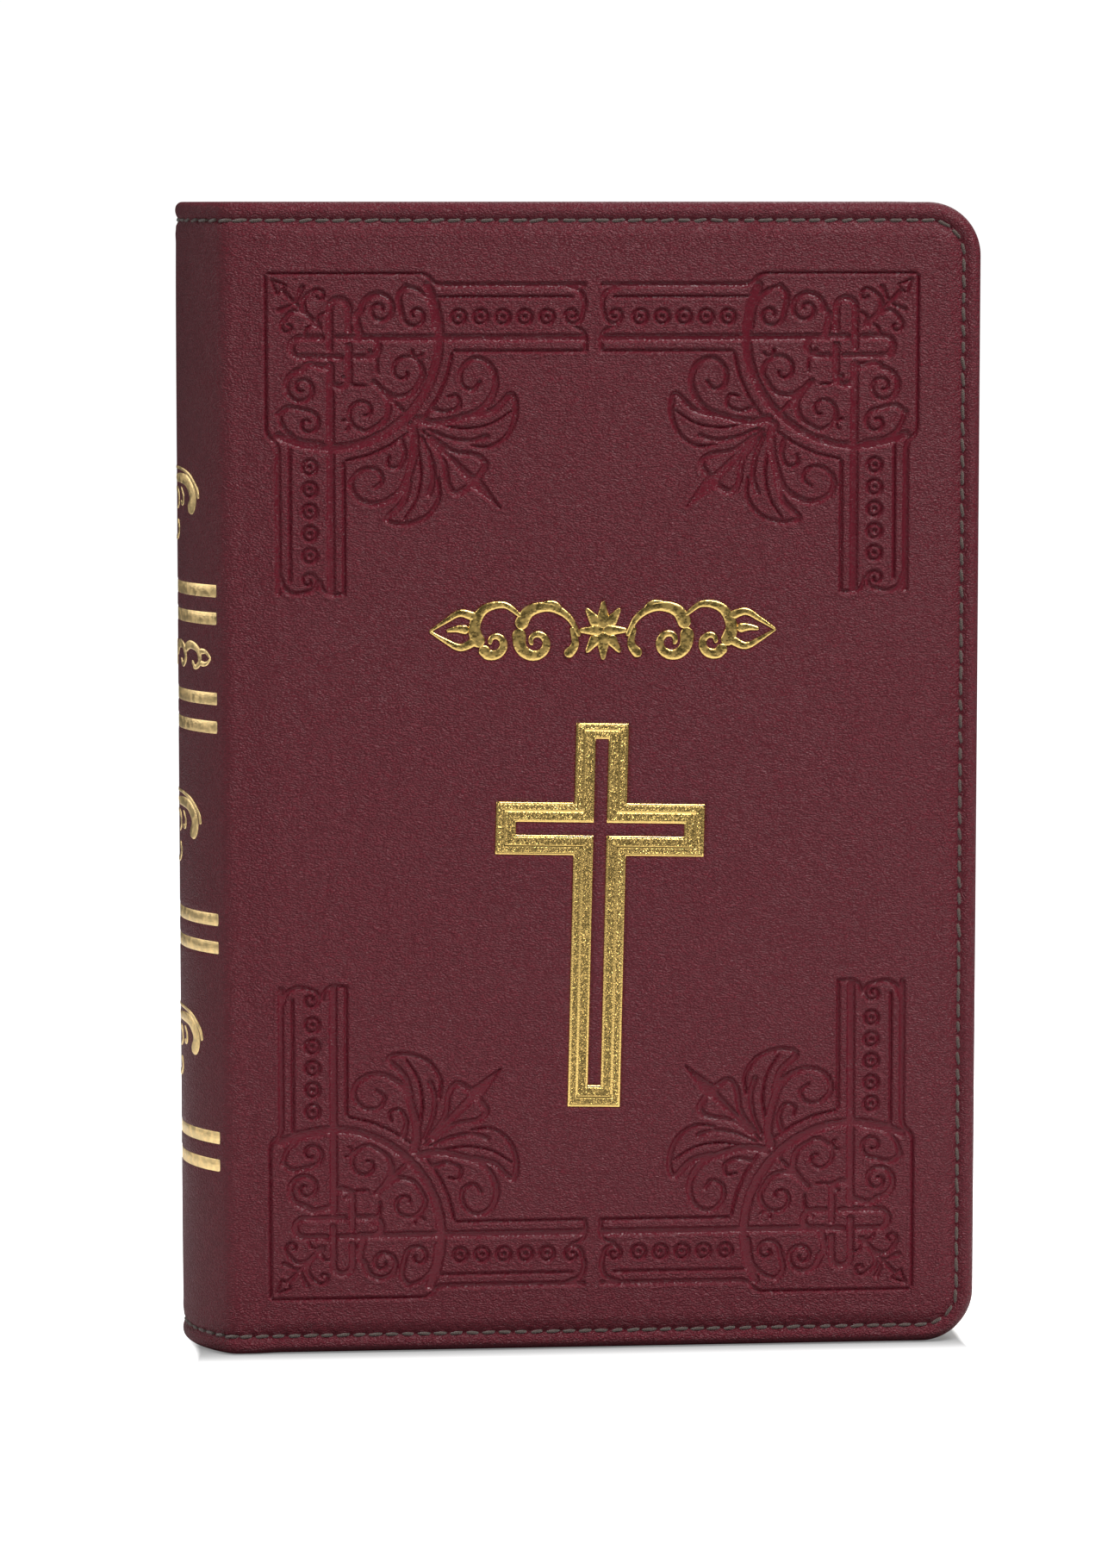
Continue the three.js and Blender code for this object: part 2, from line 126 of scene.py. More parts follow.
class BookColours(bpy.types.PropertyGroup):
    leather: colour_property("Leather", (0.097, 0.0092, 0.0168), "Burgundy of the leather's grain")
    # Painted shade: the leather is darkened towards this burgundy in its grain creases and stamped grooves
    leather_deep: colour_property(
        "Leather Creases", (0.040, 0.0028, 0.0060), "Darker burgundy in creases and stamped grooves")
    thread: colour_property("Thread", (0.058, 0.036, 0.027), "Dark brown-grey of the sewing thread")
    gold: colour_property("Gold Foil", (0.80, 0.55, 0.18), "Warm gold of the stamped foil")
    gold_pale: colour_property("Spine Gold", (0.93, 0.68, 0.32), "Paler gold of the spine's foil")
    paper: colour_property("Paper", (0.82, 0.76, 0.63), "Cream of the leaves")
    endpaper: colour_property("Endpaper", (0.26, 0.20, 0.155), "Grey-brown of the pasted endpapers")
    board: colour_property("Board", (0.29, 0.25, 0.2), "Grey card of the boards")
    floor: colour_property("Floor", (0.86, 0.86, 0.86), "Pale floor under the book")


class StudioLevels(bpy.types.PropertyGroup):
    key: power_property("Key", 34.0, "Power of the large soft light above")
    side: power_property("Side", 4.5, "Power of the soft light on the spine's side")
    front: power_property("Front", 5.0, "Power of the weak light from the front")
    back: power_property("Back", 5.0, "Power of the soft light behind the book")
    sky: bpy.props.FloatProperty(
        name="Surround", description="Brightness of the surround that lights the book", default=0.07)


def sizes(name):
    return getattr(bpy.context.scene.book_sizes, name) / MM


def colour(name, share=1.0):
    return tuple(c * share for c in getattr(bpy.context.scene.book_colours, name)) + (1.0,)


# ---- Modelling helpers ----


def deselect_all():
    if bpy.context.object and bpy.context.object.mode != "OBJECT":
        bpy.ops.object.mode_set(mode="OBJECT")
    bpy.ops.object.select_all(action="DESELECT")


def pick(piece):
    deselect_all()
    piece.select_set(True)
    bpy.context.view_layer.objects.active = piece


def joined(parts, name):
    """Makes one named piece of several."""
    deselect_all()
    for part in parts:
        part.select_set(True)
    bpy.context.view_layer.objects.active = parts[0]
    if len(parts) > 1:
        bpy.ops.object.join()
    piece = bpy.context.object
    piece.name = piece.data.name = name
    return piece


def laid_grid(name, places, uv=None):
    """A primitive grid whose rows and columns of points are laid on the given places."""
    rows, columns = places.shape[:2]
    deselect_all()
    bpy.ops.mesh.primitive_grid_add(x_subdivisions=columns - 1, y_subdivisions=rows - 1, size=1)
    piece = bpy.context.object
    piece.name = piece.data.name = name
    piece.data.vertices.foreach_set("co", (places * MM).astype(np.float32).ravel())
    if uv is not None:
        corners = np.empty(len(piece.data.loops), np.int32)
        piece.data.loops.foreach_get("vertex_index", corners)
        piece.data.uv_layers[0].data.foreach_set("uv", uv.reshape(-1, 2)[corners].astype(np.float32).ravel())
    piece.data.update()
    return piece


def edit(piece, *steps):
    """Runs edit operators on the piece, each given as (operator, settings)."""
    pick(piece)
    bpy.ops.object.mode_set(mode="EDIT")
    for step, settings in steps:
        step(**settings)
    bpy.ops.object.mode_set(mode="OBJECT")
    return piece


def close_rings(piece, caps=True):
    """Merges the rows or columns that meet, fills the open ends and turns the faces outwards."""
    mesh = bpy.ops.mesh
    steps = [(mesh.select_all, {"action": "SELECT"}), (mesh.remove_doubles, {"threshold": 2e-6})]
    if caps:
        steps += [
            (mesh.select_all, {"action": "DESELECT"}),
            (mesh.select_mode, {"type": "EDGE"}),
            (mesh.select_non_manifold, {}),
            (mesh.edge_face_add, {}),
        ]
    steps += [(mesh.select_all, {"action": "SELECT"}), (mesh.normals_make_consistent, {"inside": False})]
    return edit(piece, *steps)


def point_value(piece, name, values):
    layer = piece.data.attributes.new(name, "FLOAT", "POINT")
    full = np.zeros(len(piece.data.vertices), np.float32)
    full[: values.size] = values.ravel()
    layer.data.foreach_set("value", full)


def dress(piece, *materials, angle=40, slot=None):
    piece.data.materials.clear()
    for material in materials:
        piece.data.materials.append(material)
    pick(piece)
    bpy.ops.object.shade_smooth_by_angle(angle=math.radians(angle))
    return piece


def step(t):
    t = np.clip(t, 0, 1)
    return t * t * (3 - 2 * t)


def hump(x, centre, width):
    return np.exp(-(((x - centre) / width) ** 2))


def spaced(start, end, pitch):
    return np.linspace(start, end, max(2, round(abs(end - start) / pitch) + 1))


def length_along(points):
    """Distance from a line's start to each of its points."""
    return np.r_[0, np.cumsum(np.linalg.norm(np.diff(points, axis=0), axis=1))]


def side_sign(side):
    return -1.0 if side == "front" else 1.0


# ---- The leather's surface ----


def inset_of(x, z):
    """Distance in from the head, tail and fore-edges, softened where two edges meet."""
    near = np.stack([z + 0 * x, HEIGHT - z + 0 * x, FORE - x + 0 * z])
    return -2.5 * np.log(np.exp(-near / 2.5).sum(0))


def padding_height(x, z):
    swell = 0.45 + 0.55 * (1 - np.exp(-np.maximum(inset_of(x, z) - 4.5, 0) / 9))
    by_joint = 0.3 + 0.7 * step((x - JOINT - 1.2) / 8)
    return sizes("padding_rise") * swell * by_joint


def edge_height(inset, padding):
    """Height of the leather's face at a distance in from its edge: rim, seam valley, then the padding."""
    seam = sizes("seam_inset")
    return (
        padding * step((inset - seam - 0.3) / 2.6)
        + 0.12 * hump(inset, seam + 2.2, 1.1) * step(padding / 0.2)
        + 0.26 * hump(inset, seam - 1.7, 1.0)
        - sizes("seam_depth") * hump(inset, seam, 0.62)
    )


def rounding(inset, radius):
    near = np.clip(radius - inset, 0, radius)
    return radius - np.sqrt(radius**2 - near**2)


# ---- Stamped corner ornaments: strokes in the corner's own frame, u along the head, v down the side ----


def smooth_line(points, per_span=10):
    """A curve through the points."""
    p = np.array(points, float)
    p = np.vstack([2 * p[0] - p[1], p, 2 * p[-1] - p[-2]])
    t = np.linspace(0, 1, per_span, endpoint=False)[:, None]
    spans = []
    for a, b, c, d in zip(p[:-3], p[1:-2], p[2:-1], p[3:]):
        spans.append(0.5 * (2 * b + (c - a) * t + (2 * a - 5 * b + 4 * c - d) * t**2
                            + (3 * b - a - 3 * c + d) * t**3))
    return np.vstack(spans + [p[-2:-1]])


def arc(centre, radius, start, end, end_radius=None):
    """An arc or spiral about a centre, its angles in degrees."""
    n = max(6, int(abs(end - start) / 9))
    a = np.radians(np.linspace(start, end, n))
    r = np.linspace(radius, radius if end_radius is None else end_radius, n)
    return np.stack([centre[0] + r * np.cos(a), centre[1] + r * np.sin(a)], 1)


def stroke(points, start_width, end_width=None):
    points = np.array(points, float)
    along = length_along(points)
    ends = (start_width, start_width if end_width is None else end_width)
    return points, np.interp(along / along[-1], [0, 1], ends)


def curve(points, start_width, end_width=None):
    """A stroke along a smooth line through the points."""
    return stroke(smooth_line(points), start_width, end_width)


def mirrored(half):
    return [(points * (-1, 1), widths) for points, widths in half]


def parted(line, width, crossings, reach):
    """The stroke's pieces that are left where it dives under others at the crossings."""
    keep = np.all([np.linalg.norm(line - np.array(c), axis=1) > reach for c in crossings], axis=0)
    cuts = np.flatnonzero(np.diff(keep.astype(int)))
    return [stroke(run, width) for run, kept in zip(
        np.split(line, cuts + 1), np.split(keep, cuts + 1)) if kept[0] and len(run) > 1]


def stadium(u_low, u_high, v_low, v_high):
    """A closed loop with round ends, long in v."""
    r = (u_high - u_low) / 2
    middle = (u_low + u_high) / 2
    down = spaced(v_low + r, v_high - r, 0.25)
    return np.vstack([
        np.stack([np.full_like(down, u_high), down], 1),
        arc((middle, v_high - r), r, 0, 180),
        np.stack([np.full_like(down, u_low), down[::-1]], 1),
        arc((middle, v_low + r), r, 180, 360),
    ])


def ornament_strokes():
    half = []  # each is drawn again across the corner's diagonal
    half.append(stroke([(0.4, 0), (27.5, 0)], 0.45))
    half.append(curve([(27.5, 0), (28.6, 0.5), (29.6, 1.6), (31, 2)], 0.5, 0.9))
    half.append(stroke([(31, 2), (56, 2)], 0.9))
    half.append(stroke([(30.2, 4.1), (54, 4.1)], 0.5))
    for k in range(5):
        centre = (33.9 + 3.9 * k, 7.6)
        half.append(stroke(arc(centre, 1.25, 0, 360), 0.55))
        half.append(stroke([centre, (centre[0] + 0.02, centre[1])], 0.8))
    half.append(stroke(np.vstack([smooth_line([(53.2, 2.2), (55.4, 3.2), (56.2, 5.2), (55.8, 7.3)])[:-1],
                                  arc((54, 7.3), 1.8, 0, 470, 0.35)]), 0.9, 0.45))
    half.append(stroke([(16, 11.3), (56, 11.3)], 1.3))
    half.append(stroke([(33.2, 13.6), (56.3, 13.6)], 0.55))
    half.append(curve([(54, 9.3), (55.6, 9.9), (56.4, 11.2), (56.3, 13.6)], 0.6, 0.6))
    half.append(stroke(np.vstack([smooth_line([(16.5, 10.6), (15.9, 7.6), (16.8, 6.3)])[:-1],
                                  arc((20, 6.3), 3.2, 180, 720, 0.5)]), 1.25, 0.5))
    half.append(stroke(np.vstack([smooth_line([(24.6, 2.2), (23.4, 4.0), (24, 7.3)])[:-1],
                                  arc((26.3, 7.3), 2.3, 180, -210, 0.5)]), 1.0, 0.45))
    half.append(curve([(24.6, 2.2), (27.2, 3.2), (29.2, 5.6), (29.8, 9.4)], 0.7, 1.0))
    half.append(stroke(np.vstack([smooth_line([(20.4, 20.4), (22.6, 21.6), (25.6, 20.9), (27.7, 17.8)])[:-1],
                                  arc((24.3, 17.2), 3.4, 10, -350, 0.5)]), 1.1, 0.5))
    half.append(curve([(18.2, 13.6), (19.4, 15.2), (19.6, 17.4)], 0.8, 0.4))
    half.append(stroke(arc((26.6, 13.7), 0.9, 20, 200), 0.5, 0.5))
    # the palmette outside the arc
    half.append(curve([(26.6, 25.6), (29.5, 26.2), (34, 25.4), (38.2, 23.6), (40.4, 19.6),
                       (39.4, 16), (36.6, 14.9), (34.4, 16.8), (34.4, 19.4), (36.3, 20.4),
                       (37.6, 19)], 1.5, 0.6))
    half.append(curve([(29.4, 23.8), (31.8, 24.3), (34, 23.2), (33.6, 21.4), (32, 21.6)],
                       0.9, 0.45))
    half.append(curve([(31.2, 26.7), (35.2, 27.2), (39.6, 26.4), (43.2, 24.2)], 0.55, 0.3))
    half.append(curve([(36.6, 25), (40.2, 23.9), (43.2, 21.2), (44, 24.3), (42.6, 28.2),
                       (39.4, 30.4), (36, 30.2)], 1.2, 0.5))
    half.append(curve([(28.6, 27.4), (32.2, 28.9), (36, 29.4), (38.8, 28.6)], 0.6, 0.9))
    half.append(curve([(29.2, 28.6), (32.8, 31.2), (36.8, 31.9), (38.6, 33.4), (37.6, 35.4)],
                       0.7, 1.1))
    # the lily in the corner
    half.append(stroke(np.vstack([smooth_line([(9.2, 8.9), (7.2, 7.2), (6.6, 4.8), (8.1, 3.0)])[:-1],
                                  arc((9.3, 3.9), 1.4, 200, 520, 0.35)]), 1.0, 0.4))
    half.append(stroke([(5.2, 5.2), (6.4, 2.4)], 0.3, 0.9))
    half.append(curve([(8.9, 8.6), (9.6, 7.2), (11.3, 6.7)], 0.5, 0.5))
    half.append(stroke([(1.1, 1.1), (3.6, 2.0), (2.9, 2.9)], 0.45, 0.3))
    both = [(points[:, ::-1], widths) for points, widths in half] + half
    both.append(stroke([(9.5, 9.5), (3, 3)], 0.5, 0.7))
    both.append(stroke([(19, 19), (24.6, 24.6)], 1.0, 0.6))
    both.append(stroke(arc((11, 11), 19.6, -27, 117), 1.5))
    both.append(stroke(arc((11, 11), 22.0, 8, 82), 0.5))
    both.append(curve([(27.6, 27.6), (31, 31), (34.5, 34.5), (36.6, 36.6)], 0.5, 1.6))
    both.append(stroke([(36.6, 36.6), (38.4, 38.4), (41.2, 41.2)], 2.6, 0.2))
    low, high = (11.2, 14.6), (4.4, 19.8)
    upright = stadium(low[0], low[1], high[0], high[1])
    across = upright[:, ::-1]
    both += parted(upright, 1.15, [(low[1], low[0]), (low[0], low[1])], 1.25)
    both += parted(across, 1.15, [(low[0], low[0]), (low[1], low[1])], 1.25)
    return both


def signed_field(us, vs, strokes, reach=1.6):
    """Distance from each grid point (v rows, u columns) to the nearest stroke's edge, below 0 inside."""
    field = np.full((len(vs), len(us)), reach)
    for points, widths in strokes:
        for a, b, wa, wb in zip(points[:-1], points[1:], widths[:-1], widths[1:]):
            grow = max(wa, wb) / 2 + reach
            i0, i1 = np.searchsorted(us, [min(a[0], b[0]) - grow, max(a[0], b[0]) + grow])
            j0, j1 = np.searchsorted(vs, [min(a[1], b[1]) - grow, max(a[1], b[1]) + grow])
            if i0 == i1 or j0 == j1:
                continue
            u, v = us[None, i0:i1], vs[j0:j1, None]
            d = b - a
            t = np.clip(((u - a[0]) * d[0] + (v - a[1]) * d[1]) / max(d @ d, 1e-9), 0, 1)
            away = np.hypot(u - a[0] - t * d[0], v - a[1] - t * d[1]) - (wa + (wb - wa) * t) / 2
            field[j0:j1, i0:i1] = np.minimum(field[j0:j1, i0:i1], away)
    return field


# ---- Materials ----


class Nodes:
    """A node tree, with a short way to add each kind of node that the materials use."""

    def __init__(self, tree):
        self.tree = tree

    def put(self, kind, inputs=None, **settings):
        made = self.tree.nodes.new("ShaderNode" + kind)
        for key, value in settings.items():
            setattr(made, key, value)
        for key, value in (inputs or {}).items():
            if isinstance(value, bpy.types.NodeSocket):
                self.tree.links.new(value, made.inputs[key])
            else:
                made.inputs[key].default_value = value
        return made.outputs

    def math(self, operation, a, b=0.0, clamp=False):
        return self.put("Math", {0: a, 1: b}, operation=operation, use_clamp=clamp)[0]

    def times(self, a, b):
        return self.math("MULTIPLY", a, b)

    def plus(self, a, b):
        return self.math("ADD", a, b)

    def less(self, a, b, clamp=False):
        return self.math("SUBTRACT", a, b, clamp)

    def wave(self, value, turns):
        return self.math("SINE", self.times(value, turns))

    def place(self):
        return self.put("TexCoord")["Object"]

    def value(self, name):
        return self.put("Attribute", attribute_name=name)["Fac"]

    def parts(self, vector):
        return self.put("SeparateXYZ", {0: vector})

    def strip(self):
        """The piece's own UV, along and across."""
        return self.parts(self.put("UVMap", uv_map="UVMap")[0])[:2]

    def mapped(self, vector, scale, turn=(0.0, 0.0, 0.0)):
        return self.put("Mapping", {"Vector": vector, "Rotation": turn, "Scale": scale})[0]

    def noise(self, vector, scale, detail, roughness=0.5, output="Fac"):
        return self.put("TexNoise", {"Vector": vector, "Scale": scale, "Detail": detail,
                                     "Roughness": roughness})[output]

    def cells(self, vector, scale, randomness=1.0):
        return self.put("TexVoronoi", {"Vector": vector, "Scale": scale,
                                       "Randomness": randomness})["Distance"]

    def ranged(self, value, low, high, to_low=0.0, to_high=1.0):
        return self.put("MapRange", {
            "Value": value, "From Min": low, "From Max": high, "To Min": to_low, "To Max": to_high,
        }, interpolation_type="SMOOTHSTEP")["Result"]

    def blended(self, share, a, b):
        return self.put("Mix", {0: share, 6: a, 7: b}, data_type="RGBA", blend_type="MIX")[2]

    def finish(self, shader, tone, roughness, height, distance, strength=1.0):
        bump = self.put("Bump", {"Height": height, "Strength": strength, "Distance": distance})[0]
        for socket, value in (("Base Color", tone), ("Roughness", roughness), ("Normal", bump)):
            self.tree.links.new(value, shader[socket])


def kept(make):
    """Makes each material once, named after its function."""
    def found():
        name = make.__name__.replace("_", " ").title()
        material = bpy.data.materials.get(name)
        if not material:
            material = bpy.data.materials.new(name)
            material.use_nodes = True
            tree = material.node_tree
            make(Nodes(tree), tree.nodes["Principled BSDF"].inputs)
        return material
    return found


def leather_grain_group():
    """Fine pebbled grain with slanting wrinkles; pressing flattens it."""
    tree = bpy.data.node_groups.new("Leather Grain", "ShaderNodeTree")
    for label, side, kind in (("Vector", "INPUT", "Vector"), ("Pressed", "INPUT", "Float"),
                              ("Height", "OUTPUT", "Float"), ("Crease", "OUTPUT", "Float"),
                              ("Tone", "OUTPUT", "Float")):
        tree.interface.new_socket(label, in_out=side, socket_type="NodeSocket" + kind)
    n = Nodes(tree)
    given = tree.nodes.new("NodeGroupInput").outputs
    out = tree.nodes.new("NodeGroupOutput").inputs
    vector = given["Vector"]
    shift = n.put("VectorMath", {0: n.noise(vector, 420.0, 2.0, output="Color"), 1: (0.5, 0.5, 0.5)},
                  operation="SUBTRACT")[0]
    shift = n.put("VectorMath", {0: shift, "Scale": 0.0011}, operation="SCALE")[0]
    place = n.put("VectorMath", {0: vector, 1: shift}, operation="ADD")[0]
    leaning = n.mapped(place, (0.72, 1.0, 1.3), (0.0, 0.3, 0.0))
    crease = n.ranged(n.cells(leaning, 2900.0, 0.95), 0.75, 0.25)
    wrinkle = n.ranged(n.noise(leaning, 1500.0, 2.0, 0.6), 0.34, 0.6)
    patch = n.noise(vector, 38.0, 2.0)
    height = n.times(n.plus(n.times(crease, 0.9), n.times(wrinkle, 0.6)), n.ranged(patch, 0.3, 0.7, 0.6, 1.0))
    open_grain = n.less(1.0, n.times(given["Pressed"], 0.7))
    # Crease: mask for the painted shade in the grain's creases, and for their rougher sheen
    deep = n.less(1.0, n.times(crease, wrinkle), clamp=True)
    for label, value in (("Height", n.times(height, open_grain)), ("Crease", n.times(deep, open_grain)),
                         ("Tone", patch)):
        tree.links.new(value, out[label])
    return tree


@kept
def burgundy_leather(n, shader):
    pressed = n.value("pressed")
    grain = n.put("Group", {"Vector": n.place(), "Pressed": pressed}, node_tree=leather_grain_group())
    tone = n.blended(n.ranged(grain["Tone"], 0.3, 0.7), colour("leather", 0.94), colour("leather", 1.07))
    # painted shade: the grain's creases and the stamped grooves darken towards the crease-shade burgundy
    for share in (n.times(grain["Crease"], 0.5), n.times(pressed, 0.2)):
        tone = n.blended(share, tone, colour("leather_deep"))
    sheen = n.less(n.plus(n.times(grain["Crease"], 0.18), 0.29), n.times(pressed, 0.13))
    n.finish(shader, tone, sheen, grain["Height"], 0.00017)
    shader["Specular IOR Level"].default_value = 0.2


@kept
def sewing_thread(n, shader):
    along, around = n.strip()
    ply = n.math("ABSOLUTE", n.wave(n.plus(n.times(along, 3.2), n.times(around, 3.0)), math.pi))
    fuzz = n.noise(n.place(), 5200.0, 3.0)
    # painted shade: the grooves between the plies take a darker copy of the thread's colour, the ply tops a
    # lighter one; the fuzz adds random fibre tone
    tone = n.blended(n.times(fuzz, ply), colour("thread", 0.5), colour("thread", 1.9))
    height = n.plus(ply, n.times(fuzz, 0.5))
    n.finish(shader, tone, n.ranged(fuzz, 0.2, 0.8, 0.72, 0.95), height, 0.00012, 0.9)
    shader["Sheen Weight"].default_value = 0.25


def foil_on_leather(n, shader, gold, scale, roughness):
    """Foil that shows the leather's grain through it, with small worn specks."""
    place = n.place()
    cloud = n.noise(place, 900.0, 4.0)
    tone = n.blended(n.ranged(cloud, 0.35, 0.7), colour(gold, 0.82), colour(gold, 1.1))
    sheen = n.ranged(cloud, 0.3, 0.7, roughness - 0.06, roughness + 0.1)
    n.finish(shader, tone, sheen, n.plus(n.cells(place, scale), n.times(cloud, 0.8)), 0.00006, 0.5)
    shader["Metallic"].default_value = 1.0


@kept
def spine_gold_foil(n, shader):
    foil_on_leather(n, shader, "gold_pale", 2600.0, 0.36)


@kept
def cover_gold_foil(n, shader):
    foil_on_leather(n, shader, "gold", 2200.0, 0.26)


@kept
def milled_gold_foil(n, shader):
    """The cross's foil: a milled outer band and a grained inner band, by the strip's UV."""
    along, across = n.strip()
    milled = n.times(n.ranged(across, 0.11, 0.16), n.ranged(across, 0.40, 0.36))
    grained = n.times(n.ranged(across, 0.48, 0.53), n.ranged(across, 0.90, 0.84))
    rough = n.plus(milled, grained)
    place = n.place()
    speck = n.cells(place, 3400.0)
    height = n.plus(n.times(speck, 1.2), n.noise(place, 5200.0, 1.0))
    height = n.plus(height, n.times(n.times(n.wave(along, 2 * math.pi / 0.7), milled), 0.35))
    height = n.times(height, n.plus(n.times(rough, 0.9), 0.1))
    # painted shade: in the milled and grained bands the crevices between the grains take a near-black copy of
    # the gold
    low = n.times(rough, n.ranged(speck, 0.15, 0.5))
    tone = n.blended(n.times(low, 0.85), colour("gold", 1.1), colour("gold", 0.13))
    n.finish(shader, tone, n.ranged(rough, 0.0, 1.0, 0.2, 0.27), height, 0.0001)
    shader["Metallic"].default_value = 1.0


def sheet_material(n, shader, tint, grain_scale, depth, roughness):
    """Paper or card with faint fibres and clouds."""
    place = n.place()
    fibre = n.noise(n.mapped(place, (1.0, 1.0, 0.25)), grain_scale, 5.0)
    tone = n.blended(fibre, colour(tint, 0.86), colour(tint, 1.06))
    tone = n.blended(n.times(n.noise(place, 60.0, 2.0), 0.25), tone, colour(tint, 0.8))
    n.finish(shader, tone, n.ranged(fibre, 0.2, 0.8, roughness - 0.05, roughness + 0.06), fibre, depth, 0.5)


@kept
def cream_paper(n, shader):
    sheet_material(n, shader, "paper", 1400.0, 0.00003, 0.82)


@kept
def endpaper(n, shader):
    sheet_material(n, shader, "endpaper", 900.0, 0.00005, 0.7)


@kept
def grey_board(n, shader):
    sheet_material(n, shader, "board", 700.0, 0.0001, 0.9)


@kept
def padding_felt(n, shader):
    sheet_material(n, shader, "paper", 2400.0, 0.0002, 0.95)


@kept
def gilt_leaf_edge(n, shader):
    """Gilded edges: the leaves show as fine lines, by each block's own layer value, with painted shade between
    the leaves.
    """
    streak = n.noise(n.mapped(n.place(), (0.05, 1.0, 0.05)), 4000.0, 2.0)
    height = n.plus(n.times(n.wave(n.value("layer"), 2 * math.pi / 0.16), 0.5), streak)
    # painted shade: the gold darkens towards the gaps between the leaves; the streaks are random tone
    tone = n.blended(n.ranged(height, 0.1, 0.9), colour("gold", 0.62), colour("gold", 1.12))
    n.finish(shader, tone, n.ranged(streak, 0.3, 0.7, 0.3, 0.45), height, 0.00005, 0.5)
    shader["Metallic"].default_value = 0.9


def woven(n, shader, light, dark, scale, stripes=0.0):
    """A plain weave; with stripes, bands of two colours across it."""
    place = n.place()
    parts = n.parts(place)
    weave = n.times(n.plus(n.times(n.wave(parts[1], scale), n.wave(parts[2], scale)), 1.0), 0.5)
    # painted shade: where the threads dip under each other the weave takes the darker copy of its colour
    tone = n.blended(weave, dark, light)
    if stripes:
        tone = n.blended(n.ranged(n.wave(parts[1], stripes), -0.25, 0.25), tone, colour("paper", 0.9))
    fuzz = n.noise(place, 3000.0, 3.0)
    height = n.plus(weave, n.times(fuzz, 0.4))
    n.finish(shader, tone, n.ranged(fuzz, 0.2, 0.8, 0.75, 0.95), height, 0.0001, 0.8)


@kept
def striped_endband(n, shader):
    woven(n, shader, colour("leather", 2.2), colour("leather", 1.2), 9000.0, 3400.0)


@kept
def open_mull(n, shader):
    woven(n, shader, colour("paper"), colour("paper", 0.5), 5200.0)


@kept
def pale_floor(n, shader):
    """White to the eye by a glow only the camera sees, with a painted shadow close round the closed book, dark
    far off for the foil to reflect.
    """
    for socket, value in (("Roughness", 0.9), ("Specular IOR Level", 0.2), ("Emission Color", (1, 1, 1, 1))):
        shader[socket].default_value = value
    place = n.place()
    side, depth = (n.math("ABSOLUTE", part) for part in n.parts(place)[:2])
    # painted contact shadow: close round the book's footprint the base colour darkens and the glow drops
    beside = n.times(n.less(side, (FORE - 2.4) * MM), 9.0)
    near = n.ranged(n.math("MAXIMUM", beside, n.less(depth, FACE * MM)), 0.036, -0.003)
    clear = n.less(1.0, n.math("POWER", near, 3.0))
    away = n.put("VectorMath", {0: place}, operation="LENGTH")["Value"]
    tone = n.blended(n.ranged(away, 0.25, 0.6), colour("floor"), colour("floor", 0.1))
    # painted light: the floor glows for the camera alone, to look white
    glow = n.times(n.put("LightPath")["Is Camera Ray"], n.plus(n.times(clear, 0.84), 0.2))
    n.tree.links.new(n.blended(clear, colour("floor", 0.2), tone), shader["Base Color"])
    n.tree.links.new(glow, shader["Emission Strength"])


# ---- Front cover's field ----

CROSS_PLACE = (JOINT + 66.0, HEIGHT - 111.0)
CROSS_LEAN = math.radians(1.3)
CROSS_OUTER = (4.75, 18.7, 18.7, 19.0, 50.0)  # half arm, left, right, up and down from the bar's middle
CROSS_SLOT = (1.1, 15.0, 15.0, 16.1, 46.0)
SCROLL_PLACE = ((scroll_low.x + scroll_high.x) / 2, (scroll_low.z + scroll_high.z) / 2)


def cross_outline(sizes_of):
    half, left, right, up, down = sizes_of
    return np.array([
        (-half, -down), (half, -down), (half, -half), (right, -half), (right, half), (half, half),
        (half, up), (-half, up), (-half, half), (-left, half), (-left, -half), (-half, -half)])


def box_field(x, z, low, high):
    qx = np.abs(x - (low[0] + high[0]) / 2) - (high[0] - low[0]) / 2
    qz = np.abs(z - (low[1] + high[1]) / 2) - (high[1] - low[1]) / 2
    return np.hypot(np.maximum(qx, 0), np.maximum(qz, 0)) + np.minimum(np.maximum(qx, qz), 0)


def cross_field(x, z):
    """Distance to the edge of the cross's gold band, inside below 0."""
    dx, dz = x - CROSS_PLACE[0], z - CROSS_PLACE[1]
    lx = dx * math.cos(CROSS_LEAN) - dz * math.sin(CROSS_LEAN)
    lz = dx * math.sin(CROSS_LEAN) + dz * math.cos(CROSS_LEAN)
    parts = []
    for half, left, right, up, down in (CROSS_OUTER, CROSS_SLOT):
        parts.append(np.minimum(box_field(lx, lz, (-half, -down), (half, up)),
                                box_field(lx, lz, (-left, -half), (right, half))))
    return np.maximum(parts[0], -parts[1])


